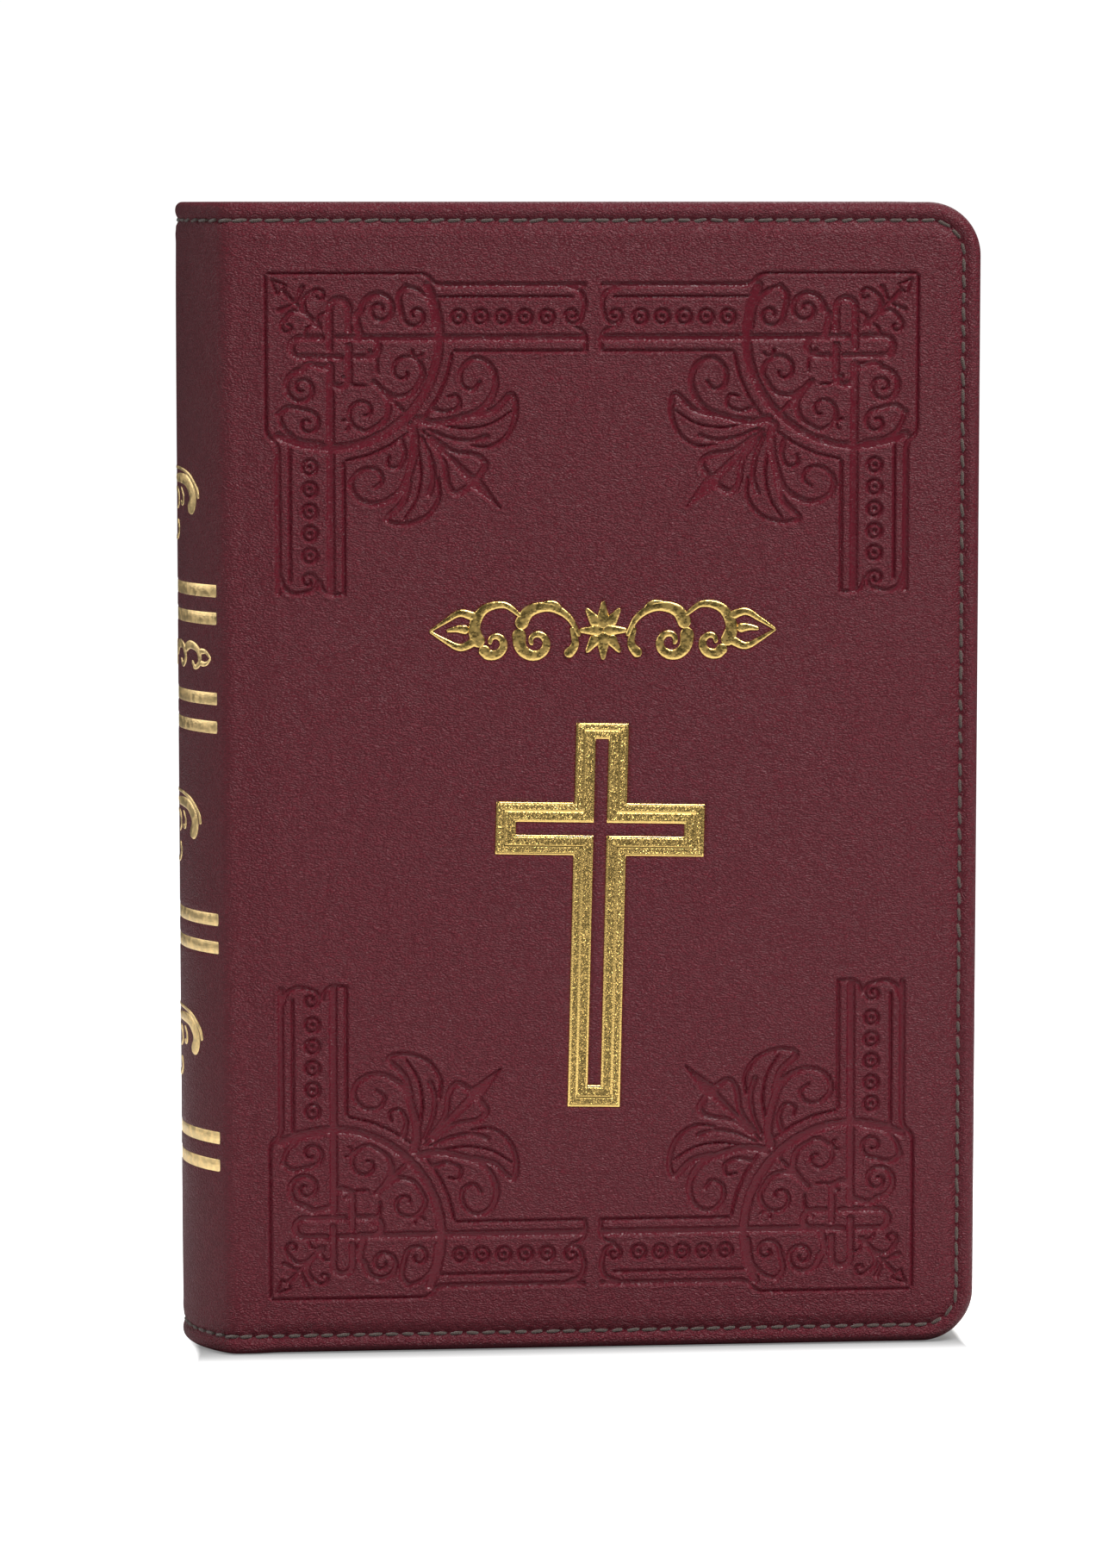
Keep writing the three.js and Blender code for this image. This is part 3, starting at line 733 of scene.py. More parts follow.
def cover_scrolls():
    """Scrollwork for the front cover, about its own middle: a lozenge flower, S-scrolls and end buds."""
    half = [
        curve([(4.2, -1.0), (6.2, 2.4), (9.6, 4.2), (13.2, 3.4), (15.0, 0.4)], 0.7, 2.6),
        stroke(np.vstack([smooth_line([(15.0, 0.4), (14.9, -2.2)])[:-1],
                          arc((12.0, -2.0), 2.9, -4, -400, 0.6)]), 2.6, 0.8),
        curve([(14.6, 2.6), (17.6, 4.6), (21.2, 3.8), (22.9, 0.6), (21.8, -2.8)], 0.7, 2.6),
        stroke(np.vstack([smooth_line([(21.8, -2.8), (20.4, -4.3)])[:-1],
                          arc((19.4, -2.1), 2.3, -70, -380, 0.5)]), 2.2, 0.8),
        curve([(22.6, 2.4), (25.4, 3.2), (28.0, 1.8), (30.8, 0)], 1.7, 0.4),
        curve([(22.8, -1.8), (25.4, -2.9), (28.0, -1.7), (30.8, 0)], 1.7, 0.4),
        curve([(23.9, 0.2), (25.9, 0.4), (27.8, 0.1)], 1.9, 0.6),
        curve([(7.6, 3.2), (8.6, 4.7), (10.6, 5.0)], 1.6, 0.5),
        curve([(5.6, 0.6), (5.0, -2.4), (6.6, -4.6)], 0.8, 2.0),
        stroke([(1.0, 1.0), (3.0, 3.9)], 2.6, 0.6),
        stroke([(1.0, -1.0), (3.0, -3.9)], 2.6, 0.6),
    ]
    middle = [stroke([(0, 0.4), (0, 5.2)], 3.2, 0.6), stroke([(0, -0.4), (0, -5.2)], 3.2, 0.6),
              stroke([(-4.2, 0), (0, 0)], 0.8, 2.4), stroke([(4.2, 0), (0, 0)], 0.8, 2.4)]
    return half + mirrored(half) + middle


def scroll_bed(x, z):
    """Distance to the edge of the cover's gold scrollwork on a grid given by its row of x and column of z."""
    return signed_field(x - SCROLL_PLACE[0], z - SCROLL_PLACE[1], cover_scrolls(), 1.2)


def backed(piece, depth_y):
    """Extrudes the sheet's open edge back to a level and fills it there."""
    front = len(piece.data.vertices)
    mesh = bpy.ops.mesh
    edit(piece, (mesh.select_all, {"action": "DESELECT"}), (mesh.select_mode, {"type": "EDGE"}),
         (mesh.select_non_manifold, {}), (mesh.extrude_edges_move, {}))
    places = np.empty(len(piece.data.vertices) * 3, np.float32)
    piece.data.vertices.foreach_get("co", places)
    places[3 * front + 1::3] = depth_y * MM
    piece.data.vertices.foreach_set("co", places)
    return edit(piece, (mesh.edge_face_add, {}))


def field_panel(name, left, head):
    """One quarter of the front cover's field, with a corner's ornament stamped in it."""
    fine = sizes("field_step")
    corner_x = JOINT + 7.0 if left else FORE - 11.5
    corner_z = HEIGHT - 12.5 if head else 10.0
    middle_x = (JOINT + 7.0 + FORE - 11.5) / 2
    middle_z = (HEIGHT - 2.5) / 2
    out_x = BOARD_EDGE if left else FORE - FIELD_INSET
    out_z = HEIGHT - FIELD_INSET if head else FIELD_INSET
    u_out, v_out = -abs(corner_x - out_x), -abs(corner_z - out_z)
    us = np.r_[spaced(u_out, -0.5, 0.5)[:-1], spaced(-0.5, abs(middle_x - corner_x), fine)]
    vs = np.r_[spaced(v_out, -0.5, 0.5)[:-1], spaced(-0.5, 57.5, fine)[:-1],
               spaced(57.5, abs(middle_z - corner_z), 0.5)]
    field = signed_field(us, vs, ornament_strokes())
    xs = corner_x + us if left else (corner_x - us)[::-1]
    zs = (corner_z - vs)[::-1] if head else corner_z + vs
    field = field if left else field[:, ::-1]
    field = field[::-1] if head else field
    x, z = np.meshgrid(xs, zs)
    wall = sizes("stamp_wall")
    pressed = step(0.5 - field / wall)
    height = edge_height(inset_of(x, z), padding_height(x, z))
    height += 0.09 * hump(field, wall * 0.9, 0.3) - sizes("stamp_depth") * pressed
    height -= 0.3 * step(0.5 - (cross_field(x, z) - 0.2) / 0.7)
    height -= 0.2 * step(0.5 - (scroll_bed(xs, zs) - 0.15) / 0.6)
    piece = laid_grid(name, np.stack([x, -FACE - height, z], 2))
    backed(piece, -FACE + SKIN)
    point_value(piece, "pressed", pressed)
    dress(piece, burgundy_leather(), angle=50, slot="leather")
    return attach(piece, "front_cover")


class BOOK_OT_front_field(bpy.types.Operator):
    """Front cover's padded field in four quarters, each with its stamped corner ornament"""
    bl_idname = "book.front_field"
    bl_label = "Front Cover Field"

    def execute(self, context):
        for name, left, head in (("head_spine", True, True), ("head_fore", False, True),
                                 ("tail_spine", True, False), ("tail_fore", False, False)):
            panel = field_panel("front_field_" + name, left, head)
        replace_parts(panel, "front_cover_leather")
        return {"FINISHED"}


# ---- Edge rolls ----

FACE_INSETS = np.array([8, 7.3, 6.6, 6, 5.5, 5.05, 4.65, 4.3, 4, 3.75, 3.55, 3.38, 3.2, 3.02, 2.85, 2.65, 2.4,
                        2.1, 1.8, 1.5, 1.2, 1, 0.8, 0.6, 0.42, 0.26, 0.13, 0.04, 0])
EDGE_ROUNDING = 1.0  # at the joints, where the leather is one skin thick
ROLL_ROUNDING = 1.7


def stitch_relief(phase, pitch, inset):
    """Holes at whole phases, and the leather puckered beside them."""
    off = (phase - np.round(phase)) * pitch
    seam = sizes("seam_inset")
    return (-0.26 * hump(off, 0, 0.34) * hump(inset, seam, 0.5)
            + 0.10 * hump(off, 0, 0.5) * hump(inset, seam + 1.15, 0.42)
            - 0.05 * hump(np.abs(off), pitch / 2, 0.6) * hump(inset, seam + 1.15, 0.42))


def edge_stations():
    """Stations round the cover's three free edges: edge point, inward direction, and whether on a corner."""
    pitch = 0.36
    xs = spaced(BOARD_EDGE, FORE - CORNER, pitch)
    zs = spaced(CORNER, HEIGHT - CORNER, pitch)
    turn = np.radians(np.linspace(0, 90, 29))
    runs = [np.stack([xs, 0 * xs, 0 * xs, 1 + 0 * xs, 0 * xs], 1)]
    for cz, start in ((CORNER, -math.pi / 2), (HEIGHT - CORNER, 0.0)):
        a = (start + turn)[1:-1]
        runs.append(np.stack([FORE - CORNER + CORNER * np.cos(a), cz + CORNER * np.sin(a),
                              -np.cos(a), -np.sin(a), 1 + 0 * a], 1))
        if cz == CORNER:
            runs.append(np.stack([FORE + 0 * zs, zs, -1 + 0 * zs, 0 * zs, 0 * zs], 1))
    runs.append(np.stack([xs[::-1], HEIGHT + 0 * xs, 0 * xs, -1 + 0 * xs, 0 * xs], 1))
    return np.vstack(runs)


def at_inset(stations, inset):
    """Points at a distance in from the edge; past 5 mm a corner's round line turns square."""
    x = stations[:, 0] + inset * stations[:, 2]
    z = stations[:, 1] + inset * stations[:, 3]
    if inset > 5:
        square = (CORNER - FIELD_INSET) / np.maximum(np.abs(stations[:, 2]), np.abs(stations[:, 3]))
        reach = (CORNER - inset) + (square - (CORNER - inset)) * step((inset - 5) / 3) * stations[:, 4]
        x = stations[:, 0] + (CORNER - reach) * stations[:, 2]
        z = stations[:, 1] + (CORNER - reach) * stations[:, 3]
    return x, z


def seam_run(stations):
    x, z = at_inset(stations, sizes("seam_inset"))
    along = np.r_[0, np.cumsum(np.hypot(np.diff(x), np.diff(z)))]
    count = round(along[-1] / sizes("stitch_pitch"))
    return x, z, along, along[-1] / count, count


def edge_roll(side):
    """The stitched roll of leather round a cover, turned in over the board."""
    stations = edge_stations()
    along, pitch = seam_run(stations)[2:4]
    phase = along / pitch
    rows = []
    for inset in FACE_INSETS:
        x, z = at_inset(stations, inset)
        soft = inset + (inset_of(x, z) - inset) * step((inset - 6) / 2)
        soften = EDGE_ROUNDING + (ROLL_ROUNDING - EDGE_ROUNDING) * step((x - BOARD_EDGE) / 5)
        height = edge_height(soft, padding_height(x, z)) - rounding(inset, soften)
        height += stitch_relief(phase, pitch, inset)
        rows.append(np.stack([x, -FACE - height, z], 1))
    full = FACE - INSIDE
    for inset, depth in ((0, 2.0), (0, full - 1), (0.12, full - 0.5), (0.45, full - 0.12), (0.95, full),
                         (3, full), (TURN_IN - 0.3, full), (TURN_IN, full - 0.1), (TURN_IN, 1.35),
                         (TURN_IN + 0.15, SKIN), (FIELD_INSET, SKIN)):
        x, z = at_inset(stations, inset)
        rows.append(np.stack([x, 0 * x - FACE + depth, z], 1))
    rows.append(rows[0])
    places = np.stack(rows, 1)
    if side == "back":
        places[..., 1] *= -1
    piece = close_rings(laid_grid(side + "_edge_roll", places))
    dress(piece, burgundy_leather(), angle=50, slot="leather")
    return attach(piece, side + "_cover")


class BOOK_OT_edge_rolls(bpy.types.Operator):
    """Stitched edge of both covers, with its seam valley, holes and turned-in leather"""
    bl_idname = "book.edge_rolls"
    bl_label = "Cover Edges"

    def execute(self, context):
        edge_roll("front")
        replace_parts(edge_roll("back"), "back_cover_leather")
        return {"FINISHED"}


class BOOK_OT_back_field(bpy.types.Operator):
    """Back cover's plain padded field"""
    bl_idname = "book.back_field"
    bl_label = "Back Cover Field"

    def execute(self, context):
        across = spaced(FORE - FIELD_INSET, BOARD_EDGE, 1.2)
        x, z = np.meshgrid(across, spaced(FIELD_INSET, HEIGHT - FIELD_INSET, 1.2))
        height = edge_height(inset_of(x, z), padding_height(x, z))
        piece = laid_grid("back_field", np.stack([x, FACE + height, z], 2))
        backed(piece, FACE - SKIN)
        dress(piece, burgundy_leather(), angle=50, slot="leather")
        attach(piece, "back_cover")
        return {"FINISHED"}


# ---- Spine and joints ----

SPLIT_ANGLE = math.radians(41)


def wrap_line():
    """From the spine's crest to a cover's board, on the front side: points, outward normals and run."""
    soft = 1.6  # tangent length of the soft corner at the joint
    end = JOINT_ANGLE - soft / SPINE_RADIUS
    a = np.linspace(0, end, 120)
    points = np.stack([SPINE_CENTRE - SPINE_RADIUS * np.cos(a), -SPINE_RADIUS * np.sin(a)], 1)
    p0, p3 = points[-1], np.array([JOINT + soft, -FACE])
    t0 = np.array([math.sin(end), -math.cos(end)])
    p1, p2 = p0 + t0 * soft * 0.62, p3 - np.array([soft * 0.62, 0])
    t = np.linspace(0, 1, 50)[1:, None]
    bend = (1 - t) ** 3 * p0 + 3 * (1 - t) ** 2 * t * p1 + 3 * (1 - t) * t**2 * p2 + t**3 * p3
    flat = np.stack([np.linspace(p3[0], BOARD_EDGE, 30)[1:], np.full(29, -FACE)], 1)
    points = np.vstack([points, bend, flat])
    run = length_along(points)
    tangent = np.gradient(points, run, axis=0)
    tangent /= np.linalg.norm(tangent, axis=1)[:, None]
    normal = np.stack([tangent[:, 1], -tangent[:, 0]], 1)
    return points, normal, run


def wrap_at(run_wanted):
    """Points and normals at signed runs from the crest, above 0 towards the front."""
    points, normal, run = wrap_line()
    s = np.abs(run_wanted)
    sign = np.where(run_wanted >= 0, 1.0, -1.0)
    x, y = np.interp(s, run, points[:, 0]), np.interp(s, run, points[:, 1]) * sign
    nx, ny = np.interp(s, run, normal[:, 0]), np.interp(s, run, normal[:, 1]) * sign
    return x, y, nx, ny


def wrap_pitch():
    half = wrap_line()[2][-1]
    count = round(2 * half / sizes("stitch_pitch"))
    return half, 2 * half / count, count


BANDS_FROM_HEAD = (68.3, 73.2, 87.4, 92.5, 126.8, 131.8, 166.0, 171.0)


def wrapped_skin(name, runs):
    """Leather of the spine or a joint, over the given runs, with rounded and stitched head and tail edges."""
    x, y, nx, ny = wrap_at(runs)
    half, pitch = wrap_pitch()[:2]
    phase = (runs + half) / pitch
    tail = FACE_INSETS[::-1]
    zs = np.r_[tail, spaced(8, HEIGHT - 8, 0.6)[1:-1], HEIGHT - FACE_INSETS]
    rows = []
    for z in zs:
        inset = min(z, HEIGHT - z)
        height = edge_height(np.full_like(x, inset), padding_height(x, z + 0 * x))
        height = height - rounding(inset, EDGE_ROUNDING) + stitch_relief(phase, pitch, inset)
        pressed = sum(step(0.5 - (abs(z - HEIGHT + b) - 1.2) / 0.5) for b in BANDS_FROM_HEAD)
        height = height - 0.16 * pressed * step((half - np.abs(runs) - 6.0) / 0.6)
        rows.append(np.stack([x + nx * height, y + ny * height, z + 0 * x], 1))
    inside = [(z, SKIN) for z in (HEIGHT - 0.3, *spaced(HEIGHT - 2, 2, 6), 0.3)]
    for z, depth in ((HEIGHT - 0.05, 1.1), *inside, (0.05, 1.1)):
        rows.append(np.stack([x - nx * depth, y - ny * depth, z + 0 * x], 1))
    rows.append(rows[0])
    piece = close_rings(laid_grid(name, np.stack(rows)))
    return dress(piece, burgundy_leather(), angle=50, slot="leather")


class BOOK_OT_spine_leather(bpy.types.Operator):
    """Rounded spine's leather, and the joints between it and the covers"""
    bl_idname = "book.spine_leather"
    bl_label = "Spine And Joints"

    def execute(self, context):
        split = SPLIT_ANGLE * SPINE_RADIUS
        end = wrap_line()[2][-1]
        spine = wrapped_skin("spine_skin", spaced(-split, split, 0.36))
        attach(spine, "spine")
        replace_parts(spine, "spine_leather")
        for side, turn in (("front", 1), ("back", -1)):
            joint = wrapped_skin(side + "_joint_skin", turn * spaced(split, end, 0.3))
            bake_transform(joint)
        return {"FINISHED"}


# ---- Stitches ----


def one_stitch():
    """A short length of three-ply thread along X that dives into its holes at both ends."""
    length, radius = sizes("stitch_length"), sizes("thread_radius")
    x = np.linspace(-1, 1, 7)
    a = np.linspace(0, 2 * math.pi, 10)
    run, turn = np.meshgrid(x, a, indexing="ij")
    thick = radius * (1 + 0.14 * np.cos(3 * turn - 4.2 * run)) * (1 - 0.5 * np.abs(run) ** 4)
    dive = 0.06 - 0.45 * np.abs(run) ** 5
    places = np.stack([run * length / 2, thick * np.cos(turn), dive + thick * np.sin(turn) * 0.85], 2)
    uv = np.stack([run * length / 2, turn / (2 * math.pi)], 2)
    stitch = close_rings(laid_grid("stitch", places, uv))
    return dress(stitch, sewing_thread(), angle=70, slot="thread")


def sewn(name, master, points, along, outward):
    """Copies of the stitch at the points, each turned along the seam, made one piece."""
    rng = np.random.default_rng(7)
    copies = []
    for p, t, n in zip(points, along, outward):
        slant = math.radians(7 + rng.normal(0, 4))
        t, n = Vector(t).normalized(), Vector(n).normalized()
        side = n.cross(t)
        t = (t * math.cos(slant) + side * math.sin(slant)).normalized()
        side = n.cross(t)
        size = 1 + rng.normal(0, 0.07)
        copy = master.copy()
        copy.data = master.data.copy()
        bpy.context.collection.objects.link(copy)
        copy.matrix_world = Matrix((
            (t.x * size, side.x, n.x, p[0] * MM), (t.y * size, side.y, n.y, p[1] * MM),
            (t.z * size, side.z, n.z, p[2] * MM), (0, 0, 0, 1)))
        copies.append(copy)
    piece = joined(copies, name)
    bpy.ops.object.transform_apply(location=True, rotation=True, scale=True)
    return piece


class BOOK_OT_edge_stitches(bpy.types.Operator):
    """Stitches round both covers, across the joints and round the spine's ends"""
    bl_idname = "book.edge_stitches"
    bl_label = "Edge Stitches"

    def execute(self, context):
        master = one_stitch()
        stations = edge_stations()
        x, z, along, pitch, count = seam_run(stations)
        seam = sizes("seam_inset")
        middle = (np.arange(count) + 0.5) * pitch
        px, pz = np.interp(middle, along, x), np.interp(middle, along, z)
        tx = np.interp(middle + 0.2, along, x) - np.interp(middle - 0.2, along, x)
        tz = np.interp(middle + 0.2, along, z) - np.interp(middle - 0.2, along, z)
        height = edge_height(seam, padding_height(px, pz))
        for side in ("front", "back"):
            out = side_sign(side)
            piece = sewn(side + "_seam_stitches", master, np.stack([px, out * (FACE + height), pz], 1),
                         np.stack([tx, 0 * tx, tz], 1), [(0, out, 0)] * count)
            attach(piece, side + "_cover")
            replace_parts(piece, side + "_seam_thread")
        half, pitch, count = wrap_pitch()
        runs = (np.arange(count) + 0.5) * pitch - half
        x, y, nx, ny = wrap_at(runs)
        height = edge_height(seam, padding_height(x, 3.2 + 0 * x))
        split = SPLIT_ANGLE * SPINE_RADIUS
        parts = {"spine": np.abs(runs) < split, "front": runs > split, "back": runs < -split}
        for part, chosen in parts.items():
            points, tangents, normals = [], [], []
            for z in (seam, HEIGHT - seam):
                points += list(np.stack([x + nx * height, y + ny * height, z + 0 * x], 1)[chosen])
                tangents += list(np.stack([-ny, nx, 0 * x], 1)[chosen])
                normals += list(np.stack([nx, ny, 0 * x], 1)[chosen])
            piece = sewn(part + ("_end_stitches" if part == "spine" else "_joint_stitches"), master, points,
                         tangents, normals)
            if part == "spine":
                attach(piece, "spine")
                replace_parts(piece, "spine_head_seam", "spine_tail_seam")
            else:
                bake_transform(piece)
        bpy.data.objects.remove(master)
        return {"FINISHED"}


# ---- Gold ----


def on_cover(s, t, lift):
    x, z = SCROLL_PLACE[0] + s, SCROLL_PLACE[1] + t
    return np.stack([x, -FACE - padding_height(x, z) - lift, z], -1)


def on_spine(z_middle):
    def place(s, t, lift):
        z = z_middle + t
        x, y, nx, ny = wrap_at(s)
        out = padding_height(x, z) + lift
        return np.stack([x + nx * out, y + ny * out, z], -1)
    return place


RIBBON_SECTION = np.array([(-1, -0.22), (-1, -0.05), (-0.86, 0.05), (-0.45, 0.09), (0, 0.10), (0.45, 0.09),
                           (0.86, 0.05), (1, -0.05), (1, -0.22), (0, -0.22), (-1, -0.22)])


def ribbon(points, widths, place):
    """A low crowned strip of foil along a line, rounded at its ends."""
    run = length_along(points)
    ends = np.array([0, 0.03, 0.1, 0.22, 0.4])
    at = np.unique(np.r_[ends, spaced(0, run[-1], 0.3), run[-1] - ends])
    at = at[(at >= 0) & (at <= run[-1])]
    line = np.stack([np.interp(at, run, points[:, k]) for k in (0, 1)], 1)
    half = np.interp(at, run, widths) / 2
    near = np.minimum(at, run[-1] - at)
    r = np.maximum(half, 0.1)
    half = half * np.sqrt(np.clip(1 - (1 - np.clip(near / r, 0, 1)) ** 2, 0, 1))
    tangent = np.gradient(line, at, axis=0)
    tangent /= np.linalg.norm(tangent, axis=1)[:, None] + 1e-9
    across = np.stack([-tangent[:, 1], tangent[:, 0]], 1)
    s = line[:, None, 0] + across[:, None, 0] * half[:, None] * RIBBON_SECTION[None, :, 0]
    t = line[:, None, 1] + across[:, None, 1] * half[:, None] * RIBBON_SECTION[None, :, 0]
    lift = np.broadcast_to(RIBBON_SECTION[None, :, 1], s.shape)
    return laid_grid("ribbon", place(s, t, lift))


def gilded(name, strokes, place, material):
    piece = joined([close_rings(ribbon(points, widths, place)) for points, widths in strokes], name)
    return dress(piece, material, angle=60, slot="gold_foil")


CROSS_BAND = np.array([
    (0, -0.3), (0, -0.16), (0.012, -0.04), (0.04, 0.05), (0.08, 0.09), (0.11, 0.06), (0.15, 0.0),
    (0.26, -0.02), (0.36, 0.0), (0.385, 0.05), (0.41, 0.08), (0.435, 0.05), (0.47, 0.0), (0.6, -0.01),
    (0.75, 0.0), (0.86, 0.03), (0.92, 0.06), (0.96, 0.02), (0.985, -0.07), (1, -0.18), (1, -0.3),
    (0.5, -0.3), (0, -0.3)])


class BOOK_OT_gold_cross(bpy.types.Operator):
    """Hollow gold cross with a milled outer band, a raised line and a grained inner band"""
    bl_idname = "book.gold_cross"
    bl_label = "Gold Cross"

    def execute(self, context):
        outer, inner = cross_outline(CROSS_OUTER), cross_outline(CROSS_SLOT)
        ring_outer, ring_inner, run = [], [], [0.0]
        for i in range(12):
            a, b = outer[i], outer[(i + 1) % 12]
            c, d = inner[i], inner[(i + 1) % 12]
            n = max(2, int(np.linalg.norm(b - a) / 0.6))
            t = np.linspace(0, 1, n, endpoint=False)[:, None]
            ring_outer.append(a + (b - a) * t)
            ring_inner.append(c + (d - c) * t)
            middle = np.linalg.norm((b + d - a - c) / 2)
            run += list(run[-1] + middle * (np.arange(n) + 1) / n)
        ring_outer = np.vstack(ring_outer + [ring_outer[0][:1]])
        ring_inner = np.vstack(ring_inner + [ring_inner[0][:1]])
        t = CROSS_BAND[None, :, 0, None]
        flat = ring_outer[:, None] * (1 - t) + ring_inner[:, None] * t
        c, s = math.cos(-CROSS_LEAN), math.sin(-CROSS_LEAN)
        x = CROSS_PLACE[0] + flat[..., 0] * c - flat[..., 1] * s
        z = CROSS_PLACE[1] + flat[..., 0] * s + flat[..., 1] * c
        y = -FACE - padding_height(x, z) + 0.1 - CROSS_BAND[None, :, 1]
        uv = np.stack(np.broadcast_arrays(np.array(run)[:, None], CROSS_BAND[None, :, 0]), 2)
        piece = close_rings(laid_grid("gold_cross", np.stack([x, y, z], 2), uv), caps=False)
        dress(piece, milled_gold_foil(), angle=50, slot="gold_foil")
        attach(piece, "front_cover")
        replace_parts(piece, "cross_foil")
        return {"FINISHED"}


class BOOK_OT_gold_scrolls(bpy.types.Operator):
    """Gold scrollwork across the front cover, above the cross"""
    bl_idname = "book.gold_scrolls"
    bl_label = "Gold Scrollwork"

    def execute(self, context):
        piece = gilded("gold_scrollwork", cover_scrolls(), on_cover, cover_gold_foil())
        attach(piece, "front_cover")
        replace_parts(piece, "cover_flourish")
        return {"FINISHED"}


def spine_scroll():
    """Two scrolls that spring from a bud, about the motif's middle."""
    half = [
        curve([(0.3, 6.3), (5.2, 6.3), (9.6, 5.4), (12.4, 3.2), (13.1, 1.2)], 0.5, 0.9),
        curve([(1.4, 4.4), (5.0, 4.6), (8.6, 4.2), (10.9, 2.2), (10.9, 0.2), (9.5, -1.2)], 1.5, 3.0),
        curve([(5.6, 3.0), (6.9, 1.6), (6.6, 0.1), (5.4, 0.4)], 0.7, 0.9),
        curve([(1.6, 2.5), (3.4, 1.9), (3.9, 0.2), (2.4, -0.9)], 1.6, 0.6),
        curve([(0.2, -6.4), (2.7, -5.9), (3.8, -4.4), (2.6, -2.9)], 0.6, 1.4),
    ]
    return half + mirrored(half)


def small_scroll():
    half = [
        curve([(1.2, 0), (3.4, 1.8), (6.3, 1.6), (7.6, -0.3), (6.2, -1.7), (4.8, -0.7)], 2.0, 0.9),
        curve([(7.3, 1.2), (9.9, 2.1), (12.6, 1.3), (13.2, -0.8), (11.6, -1.8), (10.6, -0.7)],
               1.9, 0.8),
        curve([(13.1, 1.1), (15.0, 1.1), (16.4, 0)], 1.3, 0.4),
        curve([(13.3, -1.0), (15.1, -1.0), (16.4, 0)], 1.2, 0.4),
    ]
    return half + mirrored(half) + [stroke([(0, -2.2), (0, 2.4)], 1.8, 0.5)]


class BOOK_OT_spine_gilding(bpy.types.Operator):
    """Gold bands, scrolls and a small flourish on the spine"""
    bl_idname = "book.spine_gilding"
    bl_label = "Spine Gilding"

    def execute(self, context):
        reach = JOINT_ANGLE * SPINE_RADIUS - 1.5
        for i, from_head in enumerate(BANDS_FROM_HEAD):
            line = np.stack([spaced(-reach, reach, 0.5), 0 * spaced(-reach, reach, 0.5)], 1)
            section = np.array([(-1, -0.22), (-1, -0.1), (-0.9, -0.05), (0, -0.04), (0.9, -0.05), (1, -0.1),
                                (1, -0.22), (-1, -0.22)])
            s = np.broadcast_to(line[:, None, 0], (len(line), len(section)))
            t = np.broadcast_to(section[None, :, 0] * 1.1, s.shape)
            lift = np.broadcast_to(section[None, :, 1], s.shape)
            band = close_rings(laid_grid("gold_band_%d" % (i + 1), on_spine(HEIGHT - from_head)(s, t, lift)))
            dress(band, spine_gold_foil(), angle=50, slot="gold_foil")
            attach(band, "spine")
            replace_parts(band, "spine_band_%d" % (i + 1))
        for i in range(3):
            low, high = box_mm("spine_fleuron_%d" % (i + 1))
            piece = gilded("gold_spine_scroll_%d" % (i + 1), spine_scroll(), on_spine((low.z + high.z) / 2),
                           spine_gold_foil())
            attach(piece, "spine")
            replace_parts(piece, "spine_fleuron_%d" % (i + 1))
        low, high = box_mm("spine_flourish")
        piece = gilded("gold_spine_flourish", small_scroll(), on_spine((low.z + high.z) / 2),
                       spine_gold_foil())
        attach(piece, "spine")
        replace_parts(piece, "spine_flourish")
        return {"FINISHED"}


# ---- Leaves ----


HOLLOW = 3.0  # how far the fore-edge curves in at its middle
LEAF_CORNER = 7  # radius of a leaf's outer corners


def leaf_block(name, y_low, y_high, start_x, end_x, corner, seed, layer=0.15):
    """A block of leaves with a slightly uneven edge to each layer. start_x and end_x give x at each y."""
    rng = np.random.default_rng(seed)
    low, high = TAIL_SQUARE, HEIGHT - TAIL_SQUARE
    ys = spaced(y_low, y_high, layer)
    near = np.r_[0:12:25j, spaced(12, 120, 9)[1:]]
    verts, count = [], None
    for y in ys:
        x0, x1 = start_x(y), end_x(y)
        if corner:
            turn = np.radians(np.linspace(0, 90, 10))
            along = np.r_[x0 + near[x0 + near < x1 - corner - 1], x1 - corner + corner * np.sin(turn)]
            drop = np.r_[np.zeros(len(along) - 10), corner * (1 - np.cos(turn))]
        else:
            along, drop = np.linspace(x0, x1, 5), np.zeros(5)
        count = count or len(along)
        out = rng.normal(0, 0.025)
        verts.append(np.stack([along, 0 * along + y, low + drop - out], 1))
        verts.append(np.stack([along, 0 * along + y, high - drop + out], 1))
    verts = np.vstack(verts)
    layers = len(ys)

    def at(j, side, k):
        return (2 * j + side) * count + k

    faces, edge = [], []
    for j in range(layers - 1):
        for side in (0, 1):
            for k in range(count - 1):
                faces.append((at(j, side, k), at(j, side, k + 1), at(j + 1, side, k + 1), at(j + 1, side, k)))
                edge.append(1)
        for k in (0, count - 1):
            faces.append((at(j, 0, k), at(j, 1, k), at(j + 1, 1, k), at(j + 1, 0, k)))
            edge.append(1 if k else 0)
    for j in (0, layers - 1):
        for k in range(count - 1):
            faces.append((at(j, 0, k), at(j, 0, k + 1), at(j, 1, k + 1), at(j, 1, k)))
            edge.append(0)
    mesh = bpy.data.meshes.new(name)
    mesh.from_pydata((verts * MM).tolist(), [], faces)
    piece = bpy.data.objects.new(name, mesh)
    bpy.context.collection.objects.link(piece)
    mesh.polygons.foreach_set("material_index", edge)
    edit(piece, (bpy.ops.mesh.select_all, {"action": "SELECT"}),
         (bpy.ops.mesh.normals_make_consistent, {"inside": False}))
    point_value(piece, "layer", verts[:, 1].copy())
    places = np.array(edge, np.int32)
    dress(piece, cream_paper(), gilt_leaf_edge(), angle=30, slot="paper")
    mesh.polygons.foreach_set("material_index", places)
    return piece


